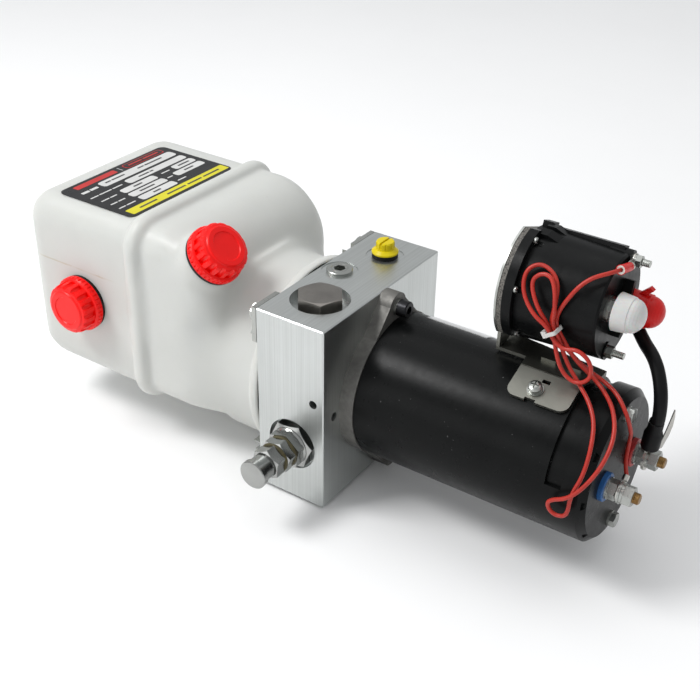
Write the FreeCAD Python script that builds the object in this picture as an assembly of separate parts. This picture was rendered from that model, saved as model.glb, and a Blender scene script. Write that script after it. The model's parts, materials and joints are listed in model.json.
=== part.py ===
"""Hydraulic power unit: valve block with an oil tank on one side and a DC motor on the other.

Millimetres.  Origin at the centre of the block's underside, +X toward the motor, +Y away
from the relief valve side, +Z up.  The pump and motor share one axis along X at z = AXIS_Z.
"""
import math
import os

import FreeCAD
import Part

V = FreeCAD.Vector
X = V(1, 0, 0)
Y = V(0, 1, 0)
Z = V(0, 0, 1)

# ---------------------------------------------------------------- driving dimensions
BLOCK_T = 60.0            # block thickness along X
BLOCK_W = 156.0           # along Y
BLOCK_H = 155.0           # along Z
AXIS_Z = 77.5             # pump and motor axis height
FIT = 0.07                # radial clearance of seated round parts
RUN = 0.05                # radial running clearance

MOTOR_R = 57.0            # motor tube outside radius
MOTOR_WALL = 6.0
FLANGE_T = 12.0           # cast front flange thickness
EAR_OFFSET = 67.0         # ear bolt distance above and below the axis
TUBE_X0 = BLOCK_T / 2 + FLANGE_T
TUBE_X1 = 208.0           # rear end of the tube
TUBE_STEP_X = 196.0       # upper half of the tube is cut back to here
STEP_UP = 8.0             # height of the step line above the axis
BAND_DROP = 3.0           # the band left bare there lies this far below the tube
BELL_X1 = 226.0           # rear face of the end bell
BELL_WALL = 5.0
SHAFT_R = 8.5
JOURNAL_R = 7.5
BUSH_R = 12.0
THROUGH_BOLT_R = 45.0     # through bolts above and below the axis
STUD_POS_Y = 23.0         # positive terminal stud
STUD_NEG_Y = -25.0        # negative terminal stud

TANK_X0 = -266.0
TANK_X1 = -73.0
TANK_HALF_W = 81.5
TANK_Z0 = 36.0
TANK_Z1 = 186.0
TANK_WALL = 3.5
TANK_CORNER = 24.5
SHOULDER_R = 50.0         # large radius that carries the filler cap
TANK_EDGE = 20.0          # rounding of the tank's side faces
NECK_R = 75.0
NECK_FLANGE_R = 80.0
NECK_FLANGE_T = 8.0
RIB_X = -145.0
RIB_HALF = 8.0
RIB_EDGE = 7.4
RIB_H = 6.0
SPOUT_R = 17.0
SPOUT_WALL = 3.0
SPOUT_H = 14.0
CAP_R = 23.0
CAP_LOBES = 16
CAP_SEAL_T = 3.0
SIDE_CAP_X = -203.0
SIDE_CAP_Z = 106.0
FILLER_Y = -59.0
FILLER_ANGLE = 43.0       # filler spout tilt above horizontal
FILLER_BOSS_R = 23.5
CLAMP_BOLT = 67.0         # clamp bolt offsets from the axis along Y and Z

GEAR_TEETH = 12
GEAR_MODULE = 2.0
GEAR_PRESSURE = math.radians(25)
GEAR_BACKLASH = 0.012     # radians taken off each half tooth
PUMP_X0 = -62.0
PUMP_X1 = -46.0
PUMP_SHAFT_R = 6.0
PUMP_BUSH_R = 9.0
PUMP_HALF_Y = 30.0
PUMP_Z0 = 55.5
PUMP_Z1 = 123.5
PUMP_COVER_X = -76.0

CHECK_Y = -40.0           # check valve position along the block
OUTLET_Y = 46.6
BLANK_X = -14.4
BLANK_Y = 5.4
RELIEF_X = 1.5
RELIEF_Z = 48.5
MOUNT_Y = 50.0            # underside mounting holes
MOUNT_R = 4.25
MOUNT_DEPTH = 20.0
TAP_R = 3.4               # two blind threaded holes
TAP_DEPTH = 18.0
FACE_TAP_X = 20.9
FACE_TAP_Z = 91.3
SIDE_TAP_Y = -64.2
SIDE_TAP_Z = 77.0

RELAY_Y = 32.3
RELAY_Z = 181.2
RELAY_TURN = -21.0        # relay turned about its own axis, degrees
RELAY_BASE_X = 126.0
GASKET_X = 127.5          # base plate below, gasket above
RELAY_FLANGE_X = 138.0
RELAY_FRONT_X = 197.0
RELAY_R = 45.0
RELAY_FLAT = 37.5
POWER_STUD = 19.3
COIL_STUD_TOP = 33.5
COIL_STUD_LOW = 31.5
BRACKET_T = 2.5
BRACKET_ANGLE = 113.0     # where the bracket foot touches the tube

BATTERY_R = 4.75
WIRE_R = 1.45

HALF_T = BLOCK_T / 2
HALF_W = BLOCK_W / 2
AX = V(0, 0, AXIS_Z)


# ---------------------------------------------------------------- helpers
def box(x0, x1, y0, y1, z0, z1):
    return Part.makeBox(x1 - x0, y1 - y0, z1 - z0, V(x0, y0, z0))


def cyl(r, base, direction, length):
    return Part.makeCylinder(r, length, base, direction)


def ring(r_out, r_in, base, direction, length):
    return cyl(r_out, base, direction, length).cut(cyl(r_in, base, direction, length))


def place(shape, base, direction):
    """Move a shape built along +Z from the origin onto base, pointing along direction."""
    out = shape.copy()
    out.Placement = FreeCAD.Placement(base, FreeCAD.Rotation(Z, direction))
    return out


def turned(outline, base, direction):
    """Solid of revolution from (radius, height) points, set at base along direction."""
    points = [V(r, 0, h) for r, h in outline]
    face = Part.Face(Part.makePolygon(points + points[:1]))
    return place(face.revolve(V(0, 0, 0), Z, 360), base, direction)


def prism(outline, x0, x1):
    """Straight prism along X from (y, z) points."""
    points = [V(x0, y, z) for y, z in outline]
    face = Part.Face(Part.makePolygon(points + points[:1]))
    return face.extrude(V(x1 - x0, 0, 0))


def dome(radius, height, start, steps=7):
    """Outline points of a rounded end: an ellipse quarter from (radius, start) to the axis."""
    points = []
    for i in range(steps + 1):
        a = math.radians(90 * i / steps)
        points.append((radius * math.cos(a) if i < steps else 0, start + height * math.sin(a)))
    return points


def hexagon(flats, base, direction, length, turn=0.0):
    corner = flats / math.sqrt(3)
    points = []
    for i in range(6):
        a = math.radians(60 * i + turn)
        points.append(V(corner * math.cos(a), corner * math.sin(a), 0))
    face = Part.Face(Part.makePolygon(points + points[:1]))
    return place(face.extrude(V(0, 0, length)), base, direction)


def chamfered_hex(flats, base, direction, length, turn=0.0, slope=0.55):
    """Hexagon whose outer corners are turned down to a cone on the far end."""
    corner = flats / math.sqrt(3)
    body = hexagon(flats, base, direction, length, turn)
    top_r = flats / 2 * 0.95
    side_r = corner + 1
    limit = turned([(0, 0), (side_r, 0), (side_r, length - (side_r - top_r) * slope),
                    (top_r, length), (0, length)], base, direction)
    return body.common(limit)


def fuse(shapes):
    out = shapes[0].multiFuse(shapes[1:]) if len(shapes) > 1 else shapes[0]
    return out.removeSplitter()


def cut(shape, tools):
    return shape.cut(Part.makeCompound(tools)) if tools else shape


def sector(r_in, r_out, x0, x1, centre, half):
    """Part of a ring about the motor axis; angles in degrees from +Y toward +Z."""
    points = [V(x0, 0, r_in), V(x1, 0, r_in), V(x1, 0, r_out), V(x0, 0, r_out)]
    face = Part.Face(Part.makePolygon(points + points[:1]))
    solid = face.revolve(V(0, 0, 0), X, 2 * half)
    solid.rotate(V(0, 0, 0), X, centre - half - 90)
    solid.translate(AX)
    return solid


def spring(base, direction, radius, wire, length, turns):
    """Closed-up helical spring standing on base."""
    pitch = length / turns
    path = Part.Wire(Part.makeHelix(pitch, length, radius))
    section = Part.Wire(Part.makeCircle(wire, V(radius, 0, 0), Y))
    body = path.makePipeShell([section], True, True)
    return place(body, base, direction)


def cord(name, points, radius):
    """Round tube along straight runs joined by tangent arcs; prints its bend radii."""
    edges = []
    radii = []
    last = points[0]
    for before, corner, after in zip(points, points[1:], points[2:]):
        d1 = (corner - before).normalize()
        d2 = (after - corner).normalize()
        half = math.acos(max(-1.0, min(1.0, d1.dot(d2)))) / 2
        setback = 0.45 * min((corner - before).Length, (after - corner).Length)
        bend = setback / math.tan(half)
        start = corner - d1 * setback
        end = corner + d2 * setback
        inward = (d2 - d1).normalize()
        middle = corner + inward * (bend / math.cos(half) - bend)
        edges.append(Part.LineSegment(last, start).toShape())
        edges.append(Part.Arc(start, middle, end).toShape())
        radii.append(bend)
        last = end
    edges.append(Part.LineSegment(last, points[-1]).toShape())
    path = Part.Wire(edges)
    first = (points[1] - points[0]).normalize()
    section = Part.Wire(Part.makeCircle(radius, points[0], first))
    body = path.makePipeShell([section], True, False)
    expected = path.Length * math.pi * radius ** 2
    print(name, "length", round(path.Length, 1), "volume ratio",
          round(body.Volume / expected, 4), "bend radii", [round(r, 1) for r in radii])
    return body


def write(name, shape):
    if isinstance(shape, list):
        shape = Part.makeCompound(shape)
    if not shape.isValid():
        print("not valid:", name)
    if len(shape.Solids) == 0:
        print("no solid:", name)
    shape.exportStep("parts/" + name + ".step")
    print(name, len(shape.Solids), "solids", round(shape.Volume, 1), "mm3")


os.makedirs("parts", exist_ok=True)

# ---------------------------------------------------------------- valve block
block = box(-HALF_T, HALF_T, -HALF_W, HALF_W, 0, BLOCK_H)
block = block.makeChamfer(0.8, block.Edges)
TOP = BLOCK_H
CHECK_FLOOR = TOP - 8.0           # floor of the plug counterbore
CHECK_THREAD = CHECK_FLOOR - 12.0
CHECK_SEAT = 105.0
MAIN_Z = 92.0                     # level of the main pressure gallery
MAIN_X = -6.0
FRONT = -HALF_W                   # relief valve face
RELIEF_FLOOR = FRONT + 8.0
RELIEF_THREAD = -56.0
CROSS_Z = 120.0                   # gallery from the check valve to the outlet
RETURN_Y = -49.0
RETURN_SOCKET = 10.0
bores = [
    cyl(22.5, V(0, CHECK_Y, CHECK_FLOOR), Z, 9),
    cyl(11.0, V(0, CHECK_Y, CHECK_THREAD), Z, 13),
    cyl(8.0, V(0, CHECK_Y, CHECK_SEAT), Z, 31),
    cyl(4.0, V(0, CHECK_Y, MAIN_Z - 4), Z, 18),
    cyl(14.4, V(BLANK_X, BLANK_Y, TOP - 0.8), Z, 2),
    cyl(6.5, V(BLANK_X, BLANK_Y, TOP - 14), Z, 15),
    cyl(3.0, V(BLANK_X, BLANK_Y, MAIN_Z), Z, 52),
    cyl(15.0, V(0, OUTLET_Y, TOP - 0.5), Z, 2),
    cyl(9.3, V(0, OUTLET_Y, TOP - 16), Z, 17),
    cyl(5.0, V(0, OUTLET_Y, CROSS_Z - 2), Z, 24),
    cyl(4.0, V(0, CHECK_Y, CROSS_Z), Y, HALF_W - CHECK_Y),
    cyl(5.0, V(0, HALF_W - 8, CROSS_Z), Y, 9),
    cyl(3.5, V(MAIN_X, CHECK_Y - 6, MAIN_Z), Y, HALF_W - CHECK_Y + 6),
    cyl(5.0, V(MAIN_X, HALF_W - 8, MAIN_Z), Y, 9),
    cyl(4.0, V(-HALF_T, 10, MAIN_Z), X, HALF_T + MAIN_X),
    cyl(3.0, V(-3, -37, 0), Z, MAIN_Z),
    cyl(5.0, V(-3, -37, -1), Z, 9),
    cyl(8.0, V(-HALF_T, 0, AXIS_Z), X, HALF_T + 6),
    cyl(14.0, V(0, 0, AXIS_Z), X, 6),
    cyl(20.0, V(5, 0, AXIS_Z), X, HALF_T),
    cyl(21.0, V(RELIEF_X, RELIEF_FLOOR, RELIEF_Z), -Y, 9),
    cyl(12.0, V(RELIEF_X, RELIEF_THREAD, RELIEF_Z), -Y, 15),
    cyl(11.0, V(RELIEF_X, -44, RELIEF_Z), -Y, 13),
    cyl(8.0, V(RELIEF_X, -32.5, RELIEF_Z), -Y, 12.5),
    cyl(6.0, V(-HALF_T, RETURN_Y, RELIEF_Z), X, RETURN_SOCKET),
    cyl(4.0, V(-HALF_T, RETURN_Y, RELIEF_Z), X, HALF_T),
    cyl(MOUNT_R, V(0, -MOUNT_Y, 0), Z, MOUNT_DEPTH),
    cyl(MOUNT_R, V(0, MOUNT_Y, 0), Z, MOUNT_DEPTH),
    cyl(TAP_R, V(FACE_TAP_X, FRONT, FACE_TAP_Z), Y, TAP_DEPTH),
    cyl(TAP_R, V(HALF_T, SIDE_TAP_Y, SIDE_TAP_Z), -X, TAP_DEPTH),
]
corners = [(sy, sz) for sy in (-1, 1) for sz in (-1, 1)]
for sy, sz in corners:
    bores.append(cyl(4.0, V(-HALF_T, sy * CLAMP_BOLT, AXIS_Z + sz * CLAMP_BOLT), X, 16))
for sz in (-1, 1):
    bores.append(cyl(4.0, V(HALF_T, 0, AXIS_Z + sz * EAR_OFFSET), -X, 18))
PUMP_BOLTS = [(-22, PUMP_Z0 + 10), (22, PUMP_Z0 + 10), (-22, PUMP_Z1 - 10), (22, PUMP_Z1 - 10)]
for y, z in PUMP_BOLTS:
    bores.append(cyl(3.0, V(-HALF_T, y, z), X, 14))
write("manifold_block", cut(block, bores))

# plugs: the zinc blanking plug on top and three gallery plugs
socket_plug = turned([(0, -11), (6.5 - FIT, -11), (6.5 - FIT, 0), (10.2, 0), (10.2, 2.3),
                      (9.7, 2.8), (6.6, 2.8), (6.4, 2.5), (6.0, 2.5), (5.8, 2.8), (0, 2.8)],
                     V(BLANK_X, BLANK_Y, TOP - 0.8), Z)
socket_plug = socket_plug.cut(hexagon(8.3, V(BLANK_X, BLANK_Y, TOP - 5), Z, 9, 15))
plugs = [socket_plug]
for base, direction in ((V(0, HALF_W - 7.9, CROSS_Z), Y), (V(MAIN_X, HALF_W - 7.9, MAIN_Z), Y),
                        (V(-3, -37, 7.9), -Z)):
    body = cyl(5.0 - FIT, base, direction, 7.4)
    plugs.append(body.cut(hexagon(5, base + direction * 3.4, direction, 5)))
write("blanking_plugs", plugs)

# check valve plug, poppet and spring
POCKET = CHECK_THREAD + 8.0
plug = fuse([chamfered_hex(32, V(0, CHECK_Y, CHECK_FLOOR), Z, 13, 6, 0.28),
             cyl(11.0 - FIT, V(0, CHECK_Y, CHECK_THREAD), Z, 12.5)])
plug = plug.cut(cyl(6.0, V(0, CHECK_Y, CHECK_THREAD), Z, POCKET - CHECK_THREAD))
write("check_valve_plug", plug)
POPPET_H = 14.0
write("check_valve_poppet", turned([(0, 0), (8 - RUN, 0), (8 - RUN, POPPET_H), (5.6, POPPET_H),
                                    (5.6, POPPET_H - 3), (0, POPPET_H - 3)],
                                   V(0, CHECK_Y, CHECK_SEAT), Z))
check_spring_z = CHECK_SEAT + POPPET_H - 2.3
write("check_valve_spring", spring(V(0, CHECK_Y, check_spring_z), Z, 4.6, 0.6,
                                   POCKET - 0.7 - check_spring_z, 7))

# outlet port plug: yellow plastic plug above a black ring
PORT = V(0, OUTLET_Y, TOP - 0.5)
write("outlet_port_ring", ring(10.2, 9.3, PORT, Z, 3.7))
port_plug = turned([(0, -11), (9.0, -11), (9.3 - RUN, -10.5), (9.3 - RUN, 3.7), (10.5, 3.7),
                    (10.5, 4.9), (8.0, 7.0), (7.3, 7.2), (7.3, 12.2), (6.6, 13.2), (0, 13.2)],
                   PORT, Z)
knob_cuts = [box(-1, 1, OUTLET_Y - 8, OUTLET_Y + 8, TOP + 10.8, TOP + 14)]
for i in range(10):
    a = math.radians(36 * i + 18)
    knob_cuts.append(cyl(0.9, PORT + V(7.6 * math.cos(a), 7.6 * math.sin(a), 8.4), Z, 5))
write("outlet_port_plug", cut(port_plug, knob_cuts))

# ---------------------------------------------------------------- relief valve, along -Y
RV = V(RELIEF_X, FRONT, RELIEF_Z)


def out(distance):
    """Point on the relief valve axis this far out of the block face."""
    return RV + V(0, -distance, 0)


body = fuse([chamfered_hex(34, out(-8), -Y, 11.5, 8),
             turned([(0, 2.5), (16.0, 2.5), (14.2, 5), (0, 5)], RV, -Y),
             hexagon(27, out(4.5), -Y, 7, 20),
             cyl(12.0 - FIT, out(-22), -Y, 15),
             cyl(8.0 - FIT, out(-40), -Y, 19)])
body = cut(body, [cyl(5.07, out(-4), -Y, 20), cyl(4.5, out(-32), -Y, 30), cyl(2, out(-41), -Y, 12),
                  cyl(1.8, V(RELIEF_X - 10, -50, RELIEF_Z), X, 20),
                  cyl(1.8, V(RELIEF_X, -50, RELIEF_Z - 10), Z, 20)])
write("relief_valve_body", body)
write("relief_washers", [ring(13, 5.4, out(11.5), -Y, 2), ring(12.3, 5.4, out(21.5), -Y, 2)])
jam = chamfered_hex(24, out(13.5), -Y, 8, 12)
write("relief_jam_nut", jam.cut(cyl(5.07, out(13), -Y, 9)))
cap_nut = fuse([chamfered_hex(22, out(23.5), -Y, 9.5, 24),
                turned([(0, 32), (8.5, 32), (8.5, 34.6), (10, 35), (10, 43), (11.3, 43.4),
                        (11.3, 47.4), (10.7, 48), (0, 48)], RV, -Y)])
write("relief_cap_nut", cap_nut.cut(cyl(5.07, out(23), -Y, 19)))
write("relief_adjusting_screw", cyl(5.0, out(-2), -Y, 42).cut(hexagon(4, out(36), -Y, 5)))
write("relief_poppet", cyl(4.5 - RUN, out(-32), -Y, 8))
write("relief_spring", spring(out(-23.3), -Y, 3.3, 0.5, 20.6, 8))

# ---------------------------------------------------------------- oil tank


def tank_profile(grow):
    """Side outline of the tank in X-Z, grown outward by this much, as a wire at y = 0."""
    x0 = TANK_X0 - grow
    x1 = TANK_X1 + grow
    z0 = TANK_Z0 - grow
    z1 = TANK_Z1 + grow
    r = TANK_CORNER + grow
    s = SHOULDER_R + grow
    k = math.sqrt(0.5)
    line = Part.LineSegment
    arc = Part.Arc
    edges = [
        line(V(x0, 0, z0 + r), V(x0, 0, z1 - r)),
        arc(V(x0, 0, z1 - r), V(x0 + r - r * k, 0, z1 - r + r * k), V(x0 + r, 0, z1)),
        line(V(x0 + r, 0, z1), V(x1 - s, 0, z1)),
        arc(V(x1 - s, 0, z1), V(x1 - s + s * k, 0, z1 - s + s * k), V(x1, 0, z1 - s)),
        line(V(x1, 0, z1 - s), V(x1, 0, z0 + r)),
        arc(V(x1, 0, z0 + r), V(x1 - r + r * k, 0, z0 + r - r * k), V(x1 - r, 0, z0)),
        line(V(x1 - r, 0, z0), V(x0 + r, 0, z0)),
        arc(V(x0 + r, 0, z0), V(x0 + r - r * k, 0, z0 + r - r * k), V(x0, 0, z0 + r)),
    ]
    return Part.Wire([e.toShape() for e in edges])


def rounded_bar(x0, x1, half_y, z0, z1, corner, edge):
    """Box along X with rounded long edges and rounded end loops."""
    body = box(x0, x1, -half_y, half_y, z0, z1)
    longs = [e for e in body.Edges if abs(e.Length - (x1 - x0)) < 1e-6
             and abs(e.Vertexes[0].Point.x - e.Vertexes[1].Point.x) > 1]
    body = body.makeFillet(corner, longs)
    loops = [e for e in body.Edges
             if abs(e.BoundBox.XMax - e.BoundBox.XMin) < 1e-3]
    return body.makeFillet(edge, loops)


def tank_shell(grow):
    """Outer skin for grow = 0; the cavity for grow = -TANK_WALL."""
    half = TANK_HALF_W + grow
    face = Part.Face(tank_profile(grow))
    face.translate(V(0, -half, 0))
    main = face.extrude(V(0, 2 * half, 0))
    loops = [e for e in main.Edges if e.BoundBox.YMax - e.BoundBox.YMin < 1e-3]
    main = main.makeFillet(TANK_EDGE + grow, loops)
    rib = rounded_bar(RIB_X - RIB_HALF - grow, RIB_X + RIB_HALF + grow,
                      TANK_HALF_W + RIB_H + grow, TANK_Z0 - RIB_H - grow,
                      TANK_Z1 + RIB_H + grow, 26 + grow, RIB_EDGE + grow)
    foot = box(-110 - grow, -90 + grow, -60 - grow, 60 + grow, TANK_Z0 - 7 - grow, TANK_Z0 + 12)
    low = [e for e in foot.Edges if e.BoundBox.ZMax < TANK_Z0 or
           (e.BoundBox.ZMax - e.BoundBox.ZMin) > 10]
    foot = foot.makeFillet(5, low)
    neck = cyl(NECK_R + grow, AX + V(-86 - grow, 0, 0), X, 56 + grow)
    back = [e for e in neck.Edges if abs(e.BoundBox.XMax - (-86 - grow)) < 1e-3]
    neck = neck.makeFillet(12 + grow, back)
    return [main, rib, foot, neck]


FILLER_DIR = V(math.cos(math.radians(FILLER_ANGLE)), 0, math.sin(math.radians(FILLER_ANGLE)))
SHOULDER = V(TANK_X1 - SHOULDER_R, FILLER_Y, TANK_Z1 - SHOULDER_R)
FILLER_SEAT = SHOULDER + FILLER_DIR * (SHOULDER_R + 1.0)
SIDE_SEAT = V(SIDE_CAP_X, -TANK_HALF_W - 0.5, SIDE_CAP_Z)

skin = tank_shell(0)
blend = turned([(0, 0), (NECK_R + 8, 0), (NECK_R + 3, 2), (NECK_R + 0.8, 5), (NECK_R, 9),
                (0, 9)], V(TANK_X1 - 0.5, 0, AXIS_Z), X)
main_body = skin[0].copy()
main_body.translate(V(12, 0, 0))
skin.append(blend.common(main_body))
skin.append(cyl(NECK_FLANGE_R, V(-HALF_T - NECK_FLANGE_T, 0, AXIS_Z), X, NECK_FLANGE_T))
skin.append(cyl(FILLER_BOSS_R, SHOULDER + FILLER_DIR * 30, FILLER_DIR, SHOULDER_R - 29))
skin.append(cyl(SPOUT_R, FILLER_SEAT - FILLER_DIR, FILLER_DIR, SPOUT_H + 1))
skin.append(cyl(FILLER_BOSS_R, SIDE_SEAT + V(0, 4, 0), -Y, 4))
skin.append(cyl(SPOUT_R, SIDE_SEAT + V(0, 4, 0), -Y, SPOUT_H + 4))
cavity = tank_shell(-TANK_WALL)
cavity.append(cyl(NECK_R - TANK_WALL, V(-50, 0, AXIS_Z), X, 30))
cavity.append(cyl(FILLER_BOSS_R - TANK_WALL, SHOULDER + FILLER_DIR * 30, FILLER_DIR,
                  SHOULDER_R - 29 - TANK_WALL))
cavity.append(cyl(SPOUT_R - SPOUT_WALL, FILLER_SEAT - FILLER_DIR * 8, FILLER_DIR, SPOUT_H + 12))
cavity.append(cyl(SPOUT_R - SPOUT_WALL, SIDE_SEAT + V(0, 10, 0), -Y, SPOUT_H + 14))
hollow = fuse(cavity)
print("tank volume, litres", round(hollow.Volume / 1e6, 2))
tank = fuse(skin).cut(hollow)
SEAL_GROOVE = 2.5
tank = tank.cut(ring(77.6, 73.9, V(-HALF_T - SEAL_GROOVE, 0, AXIS_Z), X, SEAL_GROOVE + 1))
write("tank", tank)
write("seals", [ring(77.4, 74.1, V(-HALF_T - SEAL_GROOVE, 0, AXIS_Z), X, SEAL_GROOVE),
                ring(14 - FIT, PUMP_SHAFT_R + RUN, V(0, 0, AXIS_Z), X, 5)])

# oil label on the flat top
LABEL_T = 0.3
label = box(-237, -156.5, -66.5, 54.5, TANK_Z1, TANK_Z1 + LABEL_T)
posts = [e for e in label.Edges if abs(e.Length - LABEL_T) < 1e-6]
write("tank_label", label.makeFillet(6, posts))


def cap_body():
    """Screw cap, along +Z from the face it closes on; the seal lies under its rim."""
    cap = turned([(SPOUT_R + 0.4, CAP_SEAL_T), (CAP_R, CAP_SEAL_T), (CAP_R, 7), (22.2, 8.4),
                  (20.9, 9), (20.6, 16.8), (19.9, 18.6), (18.8, 19.6), (16.8, 20.1), (16.3, 20.9),
                  (15.5, 21.3), (11.8, 21.3), (11.3, 20.6), (0, 20.6), (0, 17.5),
                  (SPOUT_R + 0.4, 17.5)], V(0, 0, 0), Z)
    scallops = []
    for i in range(CAP_LOBES):
        a = 2 * math.pi * i / CAP_LOBES
        scallops.append(cyl(2.4, V(21 * math.cos(a), 21 * math.sin(a), 9.2), Z, 20))
    for i in range(40):
        a = math.radians(9 * i)
        scallops.append(cyl(0.7, V(CAP_R * math.cos(a), CAP_R * math.sin(a), 4), Z, 5))
    return cut(cap, scallops)


def cap_seal():
    return ring(CAP_R - 0.6, SPOUT_R + 0.4, V(0, 0, 0), Z, CAP_SEAL_T)


write("side_cap", place(cap_body(), SIDE_SEAT, -Y))
write("side_cap_seal", place(cap_seal(), SIDE_SEAT, -Y))
write("filler_cap", place(cap_body(), FILLER_SEAT, FILLER_DIR))
write("filler_cap_seal", place(cap_seal(), FILLER_SEAT, FILLER_DIR))

# four corner claws that hold the neck flange
CLAW_T = 4.0
claws = []
clamp_bolts = []
FACE_X = -HALF_T
for sy, sz in corners:
    yy = sorted((sy * 49.0, sy * (HALF_W - 0.3)))
    zz = sorted((AXIS_Z + sz * 48.5, AXIS_Z + sz * (AXIS_Z - 0.3)))
    plate = box(FACE_X - CLAW_T, FACE_X, yy[0], yy[1], zz[0], zz[1])
    plate = plate.cut(cyl(NECK_FLANGE_R + 0.5, V(FACE_X - 5, 0, AXIS_Z), X, 6))
    hook = cyl(85, V(FACE_X - 12, 0, AXIS_Z), X, 8.2)
    hook = cut(hook, [cyl(NECK_FLANGE_R + 0.5, V(FACE_X - 8.02, 0, AXIS_Z), X, 9),
                      cyl(NECK_R + 1, V(FACE_X - 13, 0, AXIS_Z), X, 9)])
    hook = hook.common(box(-60, 0, yy[0], yy[1], zz[0], zz[1]))
    claw = fuse([plate, hook])
    centre = V(FACE_X, sy * CLAMP_BOLT, AXIS_Z + sz * CLAMP_BOLT)
    claws.append(claw.cut(cyl(4.3, centre - X * 6, X, 8)))
    bolt = fuse([chamfered_hex(13, centre - X * CLAW_T, -X, 5.5, 11 * sy + 7 * sz),
                 cyl(4.0 - FIT, centre - X * (CLAW_T + 1), X, 18)])
    clamp_bolts.append(bolt)
write("tank_clamps", claws)

# ---------------------------------------------------------------- pump inside the tank neck


def gear(phase):
    """Spur gear outline about the origin in Y-Z; phase is the angle of one tooth."""
    pitch = GEAR_MODULE * GEAR_TEETH / 2
    base = pitch * math.cos(GEAR_PRESSURE)
    tip = pitch + GEAR_MODULE
    root = pitch - 1.25 * GEAR_MODULE
    inv = math.tan(GEAR_PRESSURE) - GEAR_PRESSURE
    half_pitch = math.pi / (2 * GEAR_TEETH) - GEAR_BACKLASH
    flank = []
    steps = 6
    for i in range(steps + 1):
        r = base + (tip - base) * i / steps
        pressure = math.acos(base / r)
        flank.append((r, half_pitch + inv - (math.tan(pressure) - pressure)))
    outline = []
    for tooth in range(GEAR_TEETH):
        centre = phase + 2 * math.pi * tooth / GEAR_TEETH
        side = [(root, -flank[0][1])] + [(r, -a) for r, a in flank]
        side += [(r, a) for r, a in reversed(flank)] + [(root, flank[0][1])]
        for r, a in side:
            outline.append((r * math.cos(centre + a), r * math.sin(centre + a)))
    return outline


GEAR_CENTRES = GEAR_MODULE * GEAR_TEETH
DRIVEN = V(0, 0, AXIS_Z + GEAR_CENTRES)
GEAR_PLAY = 0.05


def gear_on_shaft(centre, phase, x_end):
    teeth = prism(gear(phase), PUMP_X0 + GEAR_PLAY, PUMP_X1 - GEAR_PLAY)
    teeth.translate(V(0, centre.y, centre.z))
    return fuse([teeth, cyl(PUMP_SHAFT_R, centre + V(-73, 0, 0), X, 73 + x_end)])


write("drive_gear", gear_on_shaft(AX, math.pi / 2, 12.0))
write("driven_gear", gear_on_shaft(DRIVEN, math.pi / 2 + math.pi / GEAR_TEETH, -34.0))

tip_bore = GEAR_MODULE * (GEAR_TEETH / 2 + 1) + RUN
PORT_Z = AXIS_Z + GEAR_CENTRES / 2
plates = []
bolt_holes = [cyl(3.3, V(-90, y, z), X, 70) for y, z in PUMP_BOLTS]
centres = (AX, DRIVEN)
body = rounded_bar(PUMP_X0, PUMP_X1, PUMP_HALF_Y, PUMP_Z0, PUMP_Z1, 8, 0.8)
tools = [cyl(tip_bore, c + V(-70, 0, 0), X, 40) for c in centres]
tools += [cyl(6, V(-70, y, PORT_Z), X, 40) for y in (-14, 14)]
tools += [box(PUMP_X0 - 1, PUMP_X1 + 1, -12, 12, PORT_Z - 5, PORT_Z + 5)]
plates.append(cut(body, tools + bolt_holes))
mount = rounded_bar(PUMP_X1, -HALF_T, PUMP_HALF_Y, PUMP_Z0, PUMP_Z1, 8, 0.8)
tools = [cyl(PUMP_BUSH_R + FIT, c + V(PUMP_X1, 0, 0), X, 10) for c in centres]
tools += [cyl(8, AX + V(PUMP_X1, 0, 0), X, 20), cyl(6.5, DRIVEN + V(PUMP_X1, 0, 0), X, 13),
          cyl(4, V(PUMP_X1 - 1, 10, MAIN_Z), X, 20)]
plates.append(cut(mount, tools + bolt_holes))
cover = rounded_bar(PUMP_COVER_X, PUMP_X0, PUMP_HALF_Y, PUMP_Z0, PUMP_Z1, 8, 0.8)
tools = [cyl(PUMP_BUSH_R + FIT, c + V(PUMP_X0 - 10, 0, 0), X, 11) for c in centres]
tools += [cyl(6.5, c + V(PUMP_X0 - 12, 0, 0), X, 4) for c in centres]
tools += [cyl(7.0, V(PUMP_COVER_X - 1, -14, PORT_Z), X, 7), cyl(5, V(-75, -14, PORT_Z), X, 20)]
plates.append(cut(cover, tools + bolt_holes))
write("pump_housing", plates)
bushes = []
for c in centres:
    bushes.append(ring(PUMP_BUSH_R, PUMP_SHAFT_R + RUN, c + V(PUMP_X1, 0, 0), X, 10))
    bushes.append(ring(PUMP_BUSH_R, PUMP_SHAFT_R + RUN, c + V(PUMP_X0 - 10, 0, 0), X, 10))

# suction pipe with its strainer, and the return pipe
STRAINER_X = -113.0
suction_line = [V(-70.5, -14, PORT_Z), V(STRAINER_X, -14, PORT_Z), V(STRAINER_X, -14, 54)]
suction = cord("suction pipe", suction_line, 6.95)
suction_bore = cord("suction bore", [suction_line[0] + X, suction_line[1],
                                     suction_line[2] - Z], 5.5)
return_pipe = ring(6.0 - FIT, 4.5, V(-80, RETURN_Y, RELIEF_Z), X, 60)
strainer = turned([(7.0, 58), (20, 58), (20, 42), (0, 42), (0, 43.5), (18.5, 43.5),
                   (18.5, 56.5), (7.0, 56.5)], V(STRAINER_X, -14, 0), Z)
windows = []
for i in range(12):
    slot = box(15, 25, -2.6, 2.6, 46, 54)
    slot.rotate(V(0, 0, 0), Z, 30 * i)
    slot.translate(V(STRAINER_X, -14, 0))
    windows.append(slot)
write("oil_tubes", [suction.cut(suction_bore), return_pipe, cut(strainer, windows)])

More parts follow.
